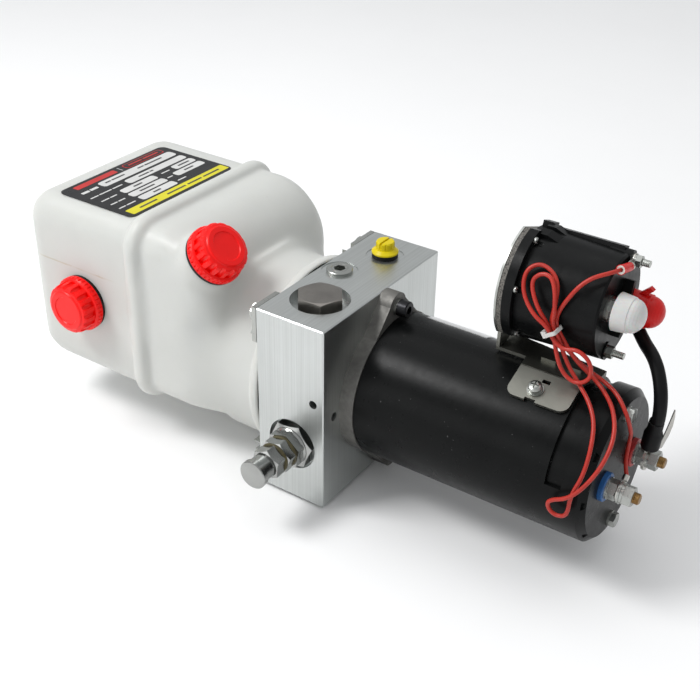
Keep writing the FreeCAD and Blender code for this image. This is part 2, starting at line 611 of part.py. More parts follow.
# ---------------------------------------------------------------- motor
ears = []
for sz in (-1, 1):
    c = AXIS_Z + sz * EAR_OFFSET
    ears.append(cyl(11, V(HALF_T, 0, c), X, FLANGE_T))
    hull = [(-MOTOR_R * 0.52, AXIS_Z + sz * MOTOR_R * 0.86), (MOTOR_R * 0.52, AXIS_Z + sz * MOTOR_R * 0.86),
            (10.4, c + sz * 3.4), (-10.4, c + sz * 3.4)]
    ears.append(prism(hull, HALF_T, TUBE_X0))
flange = fuse([cyl(MOTOR_R + 1, V(HALF_T, 0, AXIS_Z), X, FLANGE_T),
               cyl(20 - FIT, V(HALF_T - 4, 0, AXIS_Z), X, 5)] + ears)
tools = [cyl(BUSH_R + FIT, V(0, 0, AXIS_Z), X, 60)]
for sz in (-1, 1):
    tools.append(cyl(4.4, V(0, 0, AXIS_Z + sz * EAR_OFFSET), X, 60))
    tools.append(cyl(2.55, V(TUBE_X0 - 8, 0, AXIS_Z + sz * THROUGH_BOLT_R), X, 10))
write("motor_flange", cut(flange, tools))

tube = ring(MOTOR_R, MOTOR_R - MOTOR_WALL, V(TUBE_X0, 0, AXIS_Z), X, TUBE_X1 - TUBE_X0)
tube = tube.cut(box(TUBE_STEP_X, TUBE_X1 + 1, -70, 70, AXIS_Z + STEP_UP, 200))
BRACKET_OUT = V(0, math.cos(math.radians(BRACKET_ANGLE)), math.sin(math.radians(BRACKET_ANGLE)))
BRACKET_SIDE = V(0, BRACKET_OUT.z, -BRACKET_OUT.y)
SCREW_X = 168.0
screw_foot = AX + V(SCREW_X, 0, 0)
tube = tube.cut(cyl(2.5, screw_foot + BRACKET_OUT * 40, BRACKET_OUT, 30))
write("motor_tube", tube)

bell_upper = cyl(MOTOR_R - BAND_DROP, V(TUBE_STEP_X, 0, AXIS_Z), X, 13)
bell_upper = bell_upper.common(box(190, 220, -70, 70, AXIS_Z + STEP_UP + 0.2, 200))
bell = fuse([turned([(0, TUBE_X1), (MOTOR_R, TUBE_X1), (MOTOR_R, BELL_X1 - 5), (52, BELL_X1),
                     (0, BELL_X1)], AX, X), bell_upper,
             cyl(MOTOR_R - MOTOR_WALL - FIT, V(203, 0, AXIS_Z), X, 8)])
hollow_x1 = BELL_X1 - BELL_WALL
CARRIER_X0 = 196.0
CARRIER_X1 = 199.0        # the brush carrier rests against the through bolt bosses
bell = bell.cut(cyl(47, V(190, 0, AXIS_Z), X, hollow_x1 - 190))
parts = [bell, cyl(16, V(203, 0, AXIS_Z), X, hollow_x1 - 202)]
inside = cyl(MOTOR_R - MOTOR_WALL - FIT, V(CARRIER_X1, 0, AXIS_Z), X, hollow_x1 - CARRIER_X1 + 1)
for sz in (-1, 1):
    boss = cyl(7, V(CARRIER_X1, 0, AXIS_Z + sz * THROUGH_BOLT_R), X, hollow_x1 - CARRIER_X1 + 1)
    parts.append(boss.common(inside))
bell = fuse(parts)
tools = [cyl(BUSH_R + FIT, V(200, 0, AXIS_Z), X, 14.5)]
for sz in (-1, 1):
    tools.append(cyl(2.8, V(190, 0, AXIS_Z + sz * THROUGH_BOLT_R), X, 40))
for y in (STUD_POS_Y, STUD_NEG_Y):
    tools.append(cyl(8.9, V(213.5, y, AXIS_Z), X, hollow_x1 - 213.5))
    tools.append(cyl(6.0, V(213.5, y, AXIS_Z), X, 20))
for a in (-38, -142, 38, 142, 0, 180):
    rad = math.radians(a)
    rim = AX + V(BELL_X1, (MOTOR_R - 2) * math.cos(rad), (MOTOR_R - 2) * math.sin(rad))
    tools.append(cyl(3.2, rim, -X, 3))
write("end_bell", cut(bell, tools))

plate_half = 23.5
write("nameplate", sector(MOTOR_R + 0.05, MOTOR_R + 0.6, 57, 108, 72 - plate_half, plate_half))

QUARTERS = (45, 135, 225, 315)
shoes = [sector(34, 50.9, 82, 148, a, 22) for a in QUARTERS]
write("pole_shoes", shoes)
coils = [sector(38, 49, 72, 158, a, 36).cut(sector(30, 55, 81, 149, a, 23)) for a in QUARTERS]
write("field_coils", coils)

carrier = ring(46.5, 22, V(CARRIER_X0, 0, AXIS_Z), X, CARRIER_X1 - CARRIER_X0)
carrier = cut(carrier, [cyl(3.5, V(190, 0, AXIS_Z + s * THROUGH_BOLT_R), X, 12) for s in (-1, 1)])
holders = []
brushes = []
for a in QUARTERS:
    holder = box(174.5, 196.5, -6.5, 6.5, 23.5, 41).cut(box(176.5, 190.5, -4.1, 4.1, 21, 42))
    brush = box(177, 190, -4, 4, 18.4, 34).cut(cyl(18.35, V(170, 0, 0), X, 30))
    for shape in (holder, brush):
        shape.rotate(V(0, 0, 0), X, a - 90)
        shape.translate(AX)
    holders.append(holder)
    brushes.append(brush)
write("brush_carrier", fuse([carrier] + holders))
write("brushes", brushes)

SHAFT_X0 = 13.0
SHAFT_X1 = 213.0
shaft = turned([(0, SHAFT_X0), (JOURNAL_R, SHAFT_X0), (JOURNAL_R, 43), (SHAFT_R, 43),
                (SHAFT_R, 202), (JOURNAL_R, 202), (JOURNAL_R, SHAFT_X1), (0, SHAFT_X1)], AX, X)
write("armature_shaft", shaft)
SLOTS = 16
core = ring(33, SHAFT_R + FIT, V(80, 0, AXIS_Z), X, 70)
slots = []
bars = []
for i in range(SLOTS):
    slot = box(79, 151, -1.7, 1.7, 23.5, 34)
    bar = box(70, 158, -1.3, 1.3, 24, 31)
    for shape in (slot, bar):
        shape.rotate(V(0, 0, 0), X, 360 / SLOTS * i)
        shape.translate(AX)
    slots.append(slot)
    bars.append(bar)
write("armature_core", cut(core, slots))
winding = fuse([ring(31, 12, V(64, 0, AXIS_Z), X, 14), ring(31, 12, V(152, 0, AXIS_Z), X, 14)] + bars)
commutator = ring(18, SHAFT_R + FIT, V(172, 0, AXIS_Z), X, 22)
gaps = []
for i in range(SLOTS):
    gap = box(171, 195, -0.35, 0.35, 16, 19)
    gap.rotate(V(0, 0, 0), X, 360 / SLOTS * i)
    gap.translate(AX)
    gaps.append(gap)
write("armature_winding", [winding, cut(commutator, gaps)])
coupling = cyl(12, V(6, 0, AXIS_Z), X, 18)
write("shaft_coupling", cut(coupling, [cyl(PUMP_SHAFT_R + FIT, V(5, 0, AXIS_Z), X, 7.5),
                                       cyl(JOURNAL_R + FIT, V(12.5, 0, AXIS_Z), X, 13)]))
bushes.append(ring(BUSH_R, JOURNAL_R + RUN, V(28, 0, AXIS_Z), X, 13))
bushes.append(ring(BUSH_R, JOURNAL_R + RUN, V(203, 0, AXIS_Z), X, 9.5))
write("bushings", bushes)

# ---------------------------------------------------------------- terminals on the end bell
POS = V(0, STUD_POS_Y, AXIS_Z)
NEG = V(0, STUD_NEG_Y, AXIS_Z)
STUD_R = 4.0
for name, c in (("positive_insulator", POS), ("negative_insulator", NEG)):
    collar = turned([(4.1, 221), (5.93, 221), (5.93, 226), (10.5, 226), (10.5, 229),
                     (10.0, 229.5), (4.1, 229.5)], c, X)
    write(name, [collar, ring(8.3, 4.1, c + V(218.5, 0, 0), X, 2.5)])


def washer(c, x, radius, hole, thick):
    return ring(radius, hole, c + V(x, 0, 0), X, thick)


def nut(c, x, flats, hole, thick, turn):
    body = chamfered_hex(flats, c + V(x, 0, 0), X, thick, turn)
    return body.cut(cyl(hole, c + V(x - 1, 0, 0), X, thick + 2))


def stud(c, x0, x1, radius):
    tip = 0.8
    return turned([(0, x0), (radius, x0), (radius, x1 - tip), (radius - tip, x1), (0, x1)], c, X)


studs = [fuse([hexagon(13, POS + V(214.5, 0, 0), X, 4), stud(POS, 217, 251.5, STUD_R)]),
         fuse([hexagon(13, NEG + V(214.5, 0, 0), X, 4), stud(NEG, 217, 252.5, STUD_R)])]
HOLE = STUD_R + FIT
washers = [washer(POS, 229.5, 8, HOLE, 1.5), washer(POS, 239, 7.2, HOLE, 2),
           washer(NEG, 229.5, 8, HOLE, 1.5), washer(NEG, 238.2, 8, HOLE, 1.6),
           washer(NEG, 239.8, 7.2, HOLE, 2.0)]
nuts = [nut(POS, 231, 13, HOLE, 6, 8), nut(POS, 241, 13, HOLE, 6, 25),
        nut(NEG, 231, 13, HOLE, 6, 20), nut(NEG, 241.8, 13, HOLE, 6.5, 3)]

hex_bolts = list(clamp_bolts)
for sz in (-1, 1):
    c = V(0, 0, AXIS_Z + sz * THROUGH_BOLT_R)
    hex_bolts.append(fuse([chamfered_hex(10, c + V(227.2, 0, 0), X, 4.2, 10),
                           cyl(2.5, c + V(35, 0, 0), X, 193)]))
    washers.append(washer(c, 226, 6, 2.6, 1.2))
write("hex_bolts", hex_bolts)

socket_bolts = []
for sz in (-1, 1):
    c = V(0, 0, AXIS_Z + sz * EAR_OFFSET)
    head = turned([(0, 44), (6.5, 44), (6.5, 51.2), (5.8, 52), (0, 52)], c, X)
    head = head.cut(hexagon(6, c + V(48, 0, 0), X, 5))
    socket_bolts.append(fuse([head, cyl(4.0 - FIT, c + V(14, 0, 0), X, 31)]))
    washers.append(washer(c, 42, 6.4, 4.1, 2))
for y, z in PUMP_BOLTS:
    c = V(0, y, z)
    head = cyl(5, c + V(-82, 0, 0), X, 6).cut(hexagon(5, c + V(-83, 0, 0), X, 4))
    socket_bolts.append(fuse([head, cyl(3.0 - FIT, c + V(-77, 0, 0), X, 60)]))
write("socket_head_bolts", socket_bolts)

# ---------------------------------------------------------------- relay bracket, bent sheet
SHEET = BRACKET_T
LEG_X = RELAY_BASE_X - SHEET
foot = box(149, 195, -10, 15.5, 0, SHEET)
foot_corners = [e for e in foot.Edges if abs(e.Length - SHEET) < 1e-6
                and e.BoundBox.YMax < -9]
foot = foot.makeFillet(7, foot_corners)
foot = cut(foot, [cyl(2.7, V(SCREW_X, 0, -1), Z, 5), box(169, 175, 7, 10, -1, 5),
                  box(164, 172, -11, -8, -1, 5)])
frame = FreeCAD.Matrix(1, 0, 0, 0,
                       0, BRACKET_SIDE.y, BRACKET_OUT.y, BRACKET_OUT.y * (MOTOR_R + 0.05),
                       0, BRACKET_SIDE.z, BRACKET_OUT.z, BRACKET_OUT.z * (MOTOR_R + 0.05) + AXIS_Z,
                       0, 0, 0, 1)
foot = foot.transformGeometry(frame)
SHELF_Z = 136.3
shelf = Part.Face(Part.makePolygon([V(LEG_X, 2, SHELF_Z), V(147, 2, SHELF_Z), V(149, -8.6, SHELF_Z),
                                    V(195, -8.6, SHELF_Z), V(197, 0, SHELF_Z), V(201.5, 3, SHELF_Z),
                                    V(201.5, 17, SHELF_Z), V(134, 25, SHELF_Z), V(LEG_X, 25, SHELF_Z),
                                    V(LEG_X, 2, SHELF_Z)])).extrude(V(0, 0, SHEET))
leg = Part.Face(Part.makePolygon([V(LEG_X, 2, SHELF_Z), V(LEG_X, 60, 150), V(LEG_X, 60, 205),
                                  V(LEG_X, 5, 205), V(LEG_X, 2, SHELF_Z)])).extrude(V(SHEET, 0, 0))
tab = box(199, 201.5, 3.2, 16.8, 132.4, SHELF_Z + 1)
lugs = [box(158, 169, 3.5, 7, SHELF_Z + 1, SHELF_Z + SHEET + 2.5),
        box(179, 188, 3.5, 6, SHELF_Z + 1, SHELF_Z + SHEET + 2.2)]
MOUNT_SCREWS = [(14, 183), (50, 178)]
bracket = fuse([foot, shelf, leg, tab] + lugs)
bracket = cut(bracket, [cyl(2.7, V(110, y, z), X, 30) for y, z in MOUNT_SCREWS])
write("relay_bracket", bracket)

FOOT_TOP = MOTOR_R + 0.05 + SHEET


def radial(distance):
    return screw_foot + BRACKET_OUT * distance


washers.append(ring(6, 2.7, radial(FOOT_TOP), BRACKET_OUT, 1))
washers.append(ring(4.8, 2.7, radial(FOOT_TOP + 1), BRACKET_OUT, 1.4))
pan = turned([(0, 0), (5, 0), (5, 1.6), (4.2, 2.9), (2.6, 3.6), (0, 3.8)],
             radial(FOOT_TOP + 2.4), BRACKET_OUT)
cross = [box(-3, 3, -0.5, 0.5, 1.6, 5), box(-0.5, 0.5, -3, 3, 1.6, 5)]
pan = cut(pan, [place(c, radial(FOOT_TOP + 2.4), BRACKET_OUT) for c in cross])
relay_screws = [fuse([pan, cyl(2.5 - FIT, radial(46), BRACKET_OUT, FOOT_TOP + 3 - 46)])]
for y, z in MOUNT_SCREWS:
    relay_screws.append(fuse([turned([(0, 120), (2.8, 120), (4.6, 121.2), (4.6, LEG_X),
                                      (0, LEG_X)], V(0, y, z), X),
                              cyl(2.5 - FIT, V(LEG_X - 1, y, z), X, 8)]))

# ---------------------------------------------------------------- relay, built along its own axis
turn = math.radians(RELAY_TURN)
ACROSS = V(0, math.cos(turn), math.sin(turn))
UP = V(0, -math.sin(turn), math.cos(turn))
RELAY = V(0, RELAY_Y, RELAY_Z)
relay_frame = FreeCAD.Matrix(0, 0, 1, 0,
                             ACROSS.y, UP.y, 0, RELAY_Y,
                             ACROSS.z, UP.z, 0, RELAY_Z,
                             0, 0, 0, 1)


def in_relay(shape):
    """Bring a shape from relay coordinates (across, up, axial) into the unit's frame."""
    return shape.transformGeometry(relay_frame)


def flat_disc(radius, x0, x1):
    disc = cyl(radius, V(0, 0, x0), Z, x1 - x0)
    return disc.common(box(-60, 60, -RELAY_FLAT, RELAY_FLAT, x0, x1))


SCREW_ANGLES = (43, 94, 150, -43, -94, -150)
screw_spots = []
for a in SCREW_ANGLES:
    rad = math.radians(90 + a)
    reach = 40.6 if abs(a) > 120 else 42.0
    screw_spots.append(V(reach * math.cos(rad), reach * math.sin(rad), 0))
screw_tools = [cyl(1.6, p + V(0, 0, 120), Z, 40) for p in screw_spots]
mount_holes = []
for y, z in MOUNT_SCREWS:
    rel = V(0, y - RELAY_Y, z - RELAY_Z)
    mount_holes.append(cyl(2.5, V(rel.dot(ACROSS), rel.dot(UP), 120), Z, 20))
base_disc = flat_disc(RELAY_R + 0.5, RELAY_BASE_X, GASKET_X)
write("relay_base", in_relay(cut(base_disc, screw_tools + mount_holes)))
gasket = flat_disc(RELAY_R, GASKET_X, 131)
write("relay_gasket", in_relay(cut(gasket, screw_tools + [cyl(33, V(0, 0, 120), Z, 30)])))

COIL_STUDS = ((0, COIL_STUD_TOP), (0, -COIL_STUD_LOW))
POWER_STUDS = ((-POWER_STUD, 0), (POWER_STUD, 0))
shell = [flat_disc(RELAY_R, 131, RELAY_FLANGE_X),
         turned([(0, 131), (40, 131), (40, RELAY_FLANGE_X), (37.5, RELAY_FRONT_X - 1.5),
                 (36.5, RELAY_FRONT_X), (0, RELAY_FRONT_X)], V(0, 0, 0), Z),
         box(-5, 5, 36, 43.5, 131, 139),
         box(-4, 4, 34, 41.2, 135, 192),
         box(-2.2, 2.2, -20, 20, RELAY_FRONT_X - 1, 204)]
for a, reach, half, end in ((10, 42.5, 4.5, 153), (28, 42.5, 4, 153), (-30, 42.5, 4.5, 153)):
    rib = box(-half, half, 36, reach, RELAY_FLANGE_X - 1, end)
    ramp = Part.Face(Part.makePolygon([V(-9, reach - 4, end + 1), V(-9, reach + 1, end + 1),
                                       V(-9, reach + 1, end - 12), V(-9, reach - 4, end + 1)]))
    rib = rib.cut(ramp.extrude(V(18, 0, 0)))
    rib.rotate(V(0, 0, 0), Z, a)
    shell.append(rib)
for across, up in COIL_STUDS:
    shell.append(cyl(6.5, V(across, up, 182), Z, 16))
shell = fuse(shell)
inner = cyl(32, V(0, 0, 130), Z, 62)
posts = [cyl(8.5, V(a, u, 184), Z, 10) for a, u in POWER_STUDS]
shell = shell.cut(cut(inner, posts))
tools = [cyl(3.2, p + V(0, 0, RELAY_FLANGE_X), Z, 6) for p in screw_spots]
tools += screw_tools
tools += [cyl(4.0, V(a, u, 180), Z, 30) for a, u in POWER_STUDS]
tools += [cyl(2.5, V(a, u, 184), Z, 30) for a, u in COIL_STUDS]
write("relay_housing", in_relay(cut(shell, tools)))

for p in screw_spots:
    head = turned([(0, 138), (2.6, 138), (2.6, 139.4), (1.8, 140.2), (0, 140.2)], p, Z)
    head = head.cut(box(p.x - 3, p.x + 3, p.y - 0.35, p.y + 0.35, 139.4, 141))
    relay_screws.append(in_relay(fuse([head, cyl(1.53, p + V(0, 0, 127), Z, 12)])))
write("relay_screws", relay_screws)

PLUNGER_R = 10.0
COIL_X0 = 132.0
COIL_X1 = 160.0
bobbin = turned([(PLUNGER_R, COIL_X0), (30, COIL_X0), (30, COIL_X1), (PLUNGER_R, COIL_X1)],
                V(0, 0, 0), Z)
write("relay_coil", in_relay(bobbin))
DISC_X = 171.0
STROKE = 3.0
plunger = turned([(0, 134), (PLUNGER_R - RUN, 134), (PLUNGER_R - RUN, 163), (3, 163),
                  (3, DISC_X), (26, DISC_X), (26, DISC_X + 3), (3, DISC_X + 3),
                  (3, DISC_X + 5), (0, DISC_X + 5)], V(0, 0, 0), Z)
write("relay_plunger", in_relay(plunger))
CONTACT_X = DISC_X + 3 + STROKE
write("relay_spring", in_relay(spring(V(0, 0, DISC_X + 3.7), Z, 5.0, 0.6, 16.6, 6)))

turned_studs = []
for across, up in POWER_STUDS:
    here = V(across, up, 0)
    length = 219.5
    turned_studs.append(fuse([cyl(8, here + V(0, 0, CONTACT_X), Z, 7),
                              cyl(STUD_R - FIT, here + V(0, 0, 180), Z, length - 180)]))
for across, up in COIL_STUDS:
    turned_studs.append(cyl(2.5 - FIT, V(across, up, 185), Z, 210.5 - 185))
studs += [in_relay(s) for s in turned_studs]
write("terminal_studs", studs)


def relay_point(across, up, x):
    return RELAY + ACROSS * across + UP * up + X * x


WHITE = relay_point(-POWER_STUD, 0, 0)
RED = relay_point(POWER_STUD, 0, 0)
COIL_A = relay_point(0, COIL_STUD_TOP, 0)
COIL_B = relay_point(0, -COIL_STUD_LOW, 0)
washers += [washer(WHITE, 197, 9, HOLE, 1.6), washer(RED, 197, 9, HOLE, 1.6)]
nuts += [nut(WHITE, 198.6, 13, STUD_R, 4.4, 12), nut(RED, 200.6, 13, STUD_R, 6, 30)]
washers += [washer(COIL_A, 198, 4.6, 2.6, 0.8), washer(COIL_A, 199.8, 4.4, 2.6, 1.0),
            washer(COIL_B, 198, 4.6, 2.6, 0.8)]
nuts += [nut(COIL_A, 200.8, 8, 2.5, 4, 5), nut(COIL_B, 198.8, 8, 2.5, 4, 17)]
write("terminal_nuts", nuts)
write("washers", washers)

# white push-on cover over one power stud
cover = turned([(8.6, 203.4), (13.5, 203.4), (12.5, 213.4)] + dome(11.9, 9.2, 213.9) +
               [(0, 220.3), (STUD_R - FIT + RUN, 220.3), (STUD_R - FIT + RUN, 209), (8.6, 209)],
               WHITE, X)
write("stud_cover", cover)

# ---------------------------------------------------------------- battery cable
battery = [V(204.3, 50.8, 163.2), V(213.5, 44.5, 154.8), V(229.5, 31, 151), V(240, 20.5, 136.5),
           V(243, 17.5, 117.5), V(240.2, 20.2, 101.5), V(238.6, 22.6, 88.5)]
write("battery_cable", cord("battery cable", battery, BATTERY_R))

# red rubber boot: cup over the stud with a sleeve round the cable
sleeve_dir = (battery[1] - battery[0]).normalize()
sleeve = cyl(8.0, battery[0] - sleeve_dir * 5, sleeve_dir, 10.2)
strap = Part.Face(Part.makePolygon([V(202, RED.y - 2, RED.z + 10), V(207, RED.y - 2, RED.z + 10),
                                    V(214.5, RED.y - 2, RED.z + 17), V(211.5, RED.y - 2, RED.z + 19),
                                    V(202, RED.y - 2, RED.z + 10)])).extrude(V(0, 4, 0))
boot = fuse([turned([(0, 199), (12.6, 199), (12.2, 213)] + dome(11.4, 10.5, 213.6), RED, X),
             sleeve.common(box(199, 230, 0, 90, 140, 190)), strap])
boot = cut(boot, [cyl(10.2, RED + V(198, 0, 0), X, 13.5), cyl(4.3, RED + V(198, 0, 0), X, 23.5),
                  cyl(BATTERY_R + 0.05, battery[0] - sleeve_dir * 1.0, sleeve_dir, 16)])
write("stud_boot", boot)

terminals = []
lug_dir = (battery[-2] - battery[-1]).normalize()
end = battery[-1]
tongue = fuse([washer(POS, 237, 9.5, HOLE, 2), box(237, 239, STUD_POS_Y - 6, STUD_POS_Y + 6, AXIS_Z, 87.3)])
tongue = tongue.cut(cyl(HOLE, POS + V(230, 0, 0), X, 12))
barrel = cyl(6.3, end - lug_dir * 0.9, lug_dir, 13.4).cut(cyl(BATTERY_R + FIT, end - lug_dir * 0.02,
                                                            lug_dir, 20))
terminals.append(fuse([tongue, barrel]))
terminals.append(ring(9.5, HOLE, RED + V(198.6, 0, 0), X, 2))

# ---------------------------------------------------------------- red control wire
TIE = V(171, -11, 174.3)
TIE_ALONG = V(-0.54, 0, 0.8417)
TIE_ACROSS = V(0.8417, 0, 0.54)


def lane(across, depth, along):
    """Point on one strand where it passes through the tie."""
    return TIE + TIE_ACROSS * across + Y * depth + TIE_ALONG * along


HALF_LANE = 5.0
LANES = ((1.9, 1.9), (1.6, -1.5), (-1.6, -1.5), (-0.6, -4.9), (-1.6, 1.9))
upper = [lane(across, depth, HALF_LANE) for across, depth in LANES]
lower = [lane(across, depth, -HALF_LANE) for across, depth in LANES]
# from the relay's upper coil stud down to the tie
wire = [V(200.8, 23, 215.6), V(200.0, 9, 218.8), V(184, -1.0, 212.5), V(174.0, -11, 194), upper[0]]
# long bight that hangs beside the motor, down and back up
wire += [lower[0], V(187.5, -9.0, 156), V(200, -3.5, 144), V(212, -9.5, 139.5), V(223.5, -21, 136),
         V(232, -36, 128), V(232.5, -49, 115), V(226.5, -59.5, 100), V(217.5, -65.4, 88.5),
         V(204.3, -64.2, 81.1), V(202.9, -63.2, 75), V(206.5, -62.6, 69.9), V(212.7, -62.2, 69.2),
         V(217.4, -62, 73.3), V(217.5, -61.8, 88.5), V(222, -56.5, 103), V(221, -46, 118.5),
         V(216, -33, 130.5), V(206, -22.5, 138), V(193, -11.8, 141.5), V(183.5, -11.8, 153), lower[1],
         upper[1]]
# small upper loop
wire += [V(171.3, -14.6, 190), V(167.5, -9.8, 204.5), V(161.8, -6, 210.6), V(154, -6, 209.8),
         V(149.5, -9.0, 203.5), V(157.5, -14, 190), upper[2], lower[2]]
# loop below the tie
wire += [V(177, -15.7, 158.5), V(183, -16, 147), V(193.5, -16, 142.5), V(203, -16, 150),
         V(201.5, -16, 162.5), V(191.5, -16, 169), V(181, -16.4, 165.5), lower[3], upper[3]]
# large upper loop
wire += [V(156.5, -16.4, 184.5), V(144.8, -10.6, 195.5), V(142.5, -3.4, 208.5), V(152, 1.8, 214),
         V(166.3, -2.4, 208), V(169.8, -11.2, 192.5), upper[4], lower[4]]
# over the bracket and down the end bell to the negative stud
wire += [V(181, -5.5, 158.5), V(193.5, 0.5, 145.5), V(206, 1.0, 141), V(219, -5.5, 139),
         V(230.5, -13.5, 131), V(233.5, -8.8, 116), V(230.8, 0.5, 105.5), V(230.6, -0.5, 95),
         V(233, -8.5, 89), V(237.8, -15.5, 85.2)]
write("control_wire", cord("control wire", wire, WIRE_R))

first_dir = (wire[1] - wire[0]).normalize()
eye = fuse([ring(4.8, 2.6, COIL_A + V(198.8, 0, 0), X, 1.0),
            box(198.8, 199.8, COIL_A.y - 12, COIL_A.y - 4, COIL_A.z - 1, COIL_A.z + 3)])
eye = eye.cut(cyl(2.6, COIL_A + V(190, 0, 0), X, 20))
crimp = cyl(2.6, wire[0] - first_dir * 11, first_dir, 10.8)
terminals.append(fuse([eye, crimp]))
terminals.append(ring(3.0, WIRE_R + FIT, wire[0], first_dir, 6.5))
last_dir = (wire[-1] - wire[-2]).normalize()
eye_x = 237.7
eye_dir = (V(eye_x, wire[-1].y, wire[-1].z) - NEG - X * eye_x).normalize()
eye_tongue = place(box(-0.5, 0.5, -1.6, 1.6, 5.2, 9.4), NEG + X * eye_x, eye_dir)
eye_crimp = cyl(2.3, NEG + X * eye_x + eye_dir * 8.7, eye_dir, 4.0)
ring_eye = fuse([washer(NEG, eye_x - 0.5, 6.6, HOLE, 1.0), eye_tongue, eye_crimp])
wire_end = cyl(WIRE_R + FIT, wire[-1] - last_dir * 5, last_dir, 5.1)
terminals.append(cut(ring_eye, [wire_end, cyl(HOLE, NEG + V(230, 0, 0), X, 12)]))
write("cable_terminals", terminals)


def tie_box(a0, a1, b0, b1, half):
    """Box in the tie's own frame (across, depth, along)."""
    m = FreeCAD.Matrix(TIE_ACROSS.x, 0, TIE_ALONG.x, TIE.x,
                       0, 1, 0, TIE.y,
                       TIE_ACROSS.z, 0, TIE_ALONG.z, TIE.z,
                       0, 0, 0, 1)
    return box(a0, a1, b0, b1, -half, half), m


band, tie_frame = tie_box(-4.4, 4.7, -7.7, 4.6, 1.3)
band = band.makeFillet(1.9, [e for e in band.Edges if abs(e.Length - 2.6) < 1e-6])
hole_box = tie_box(-3.3, 3.6, -6.6, 3.5, 3)[0]
hole_box = hole_box.makeFillet(0.9, [e for e in hole_box.Edges if abs(e.Length - 6) < 1e-6])
head = tie_box(-7.6, -4.2, -4.6, 0.4, 2.4)[0]
stub = tie_box(-7.0, -5.8, 0.2, 5.0, 1.2)[0]
tie = fuse([band.cut(hole_box), head, stub]).transformGeometry(tie_frame)
write("cable_tie", tie)
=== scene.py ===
import json
import math

import bpy
import bmesh
from mathutils import Matrix, Vector


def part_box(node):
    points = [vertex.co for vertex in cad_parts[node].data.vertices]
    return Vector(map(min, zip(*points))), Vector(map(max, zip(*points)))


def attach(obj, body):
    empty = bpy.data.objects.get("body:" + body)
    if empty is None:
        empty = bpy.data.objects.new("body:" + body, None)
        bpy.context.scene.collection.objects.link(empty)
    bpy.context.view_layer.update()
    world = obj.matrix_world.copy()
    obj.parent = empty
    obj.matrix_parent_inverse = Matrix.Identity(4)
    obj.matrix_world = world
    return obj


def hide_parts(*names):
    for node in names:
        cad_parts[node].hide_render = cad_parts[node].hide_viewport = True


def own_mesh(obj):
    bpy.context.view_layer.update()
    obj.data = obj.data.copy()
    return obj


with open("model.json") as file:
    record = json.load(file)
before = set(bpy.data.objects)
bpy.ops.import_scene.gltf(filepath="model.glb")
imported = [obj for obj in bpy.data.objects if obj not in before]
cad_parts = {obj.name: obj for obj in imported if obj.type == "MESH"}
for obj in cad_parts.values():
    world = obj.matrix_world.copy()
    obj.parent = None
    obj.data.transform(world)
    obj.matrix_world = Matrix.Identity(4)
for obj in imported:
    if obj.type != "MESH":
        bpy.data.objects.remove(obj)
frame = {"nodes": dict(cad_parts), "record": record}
NODES = frame["nodes"]
SCENE = bpy.context.scene
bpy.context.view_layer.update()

# ---------------------------------------------------------------- camera
AZIMUTH = math.radians(33.86)
ELEVATION = math.radians(31.66)
ROLL = math.radians(1.05)
back = Vector((math.sin(AZIMUTH) * math.cos(ELEVATION), -math.cos(AZIMUTH) * math.cos(ELEVATION),
               math.sin(ELEVATION)))
side = Vector((math.cos(AZIMUTH), math.sin(AZIMUTH), 0))
up = back.cross(side)
right = side * math.cos(ROLL) + up * math.sin(ROLL)
top = up * math.cos(ROLL) - side * math.sin(ROLL)
camera_data = bpy.data.cameras.new("camera")
camera_data.lens = 60.0
camera_data.sensor_width = 36.0
camera_data.clip_start = 0.05
camera_data.clip_end = 50.0
camera = bpy.data.objects.new("camera", camera_data)
SCENE.collection.objects.link(camera)
camera.matrix_world = Matrix((
    (right.x, top.x, back.x, 0.43155),
    (right.y, top.y, back.y, -0.64304),
    (right.z, top.z, back.z, 0.56915),
    (0, 0, 0, 1)))
SCENE.camera = camera

# ---------------------------------------------------------------- cords
BATTERY_PATH = [
    (0.20430, 0.05080, 0.16320), (0.21350, 0.04450, 0.15480),
    (0.22950, 0.03100, 0.15100), (0.24000, 0.02050, 0.13650),
    (0.24300, 0.01750, 0.11750), (0.24020, 0.02020, 0.10150), (0.23860, 0.02260, 0.08850),
]

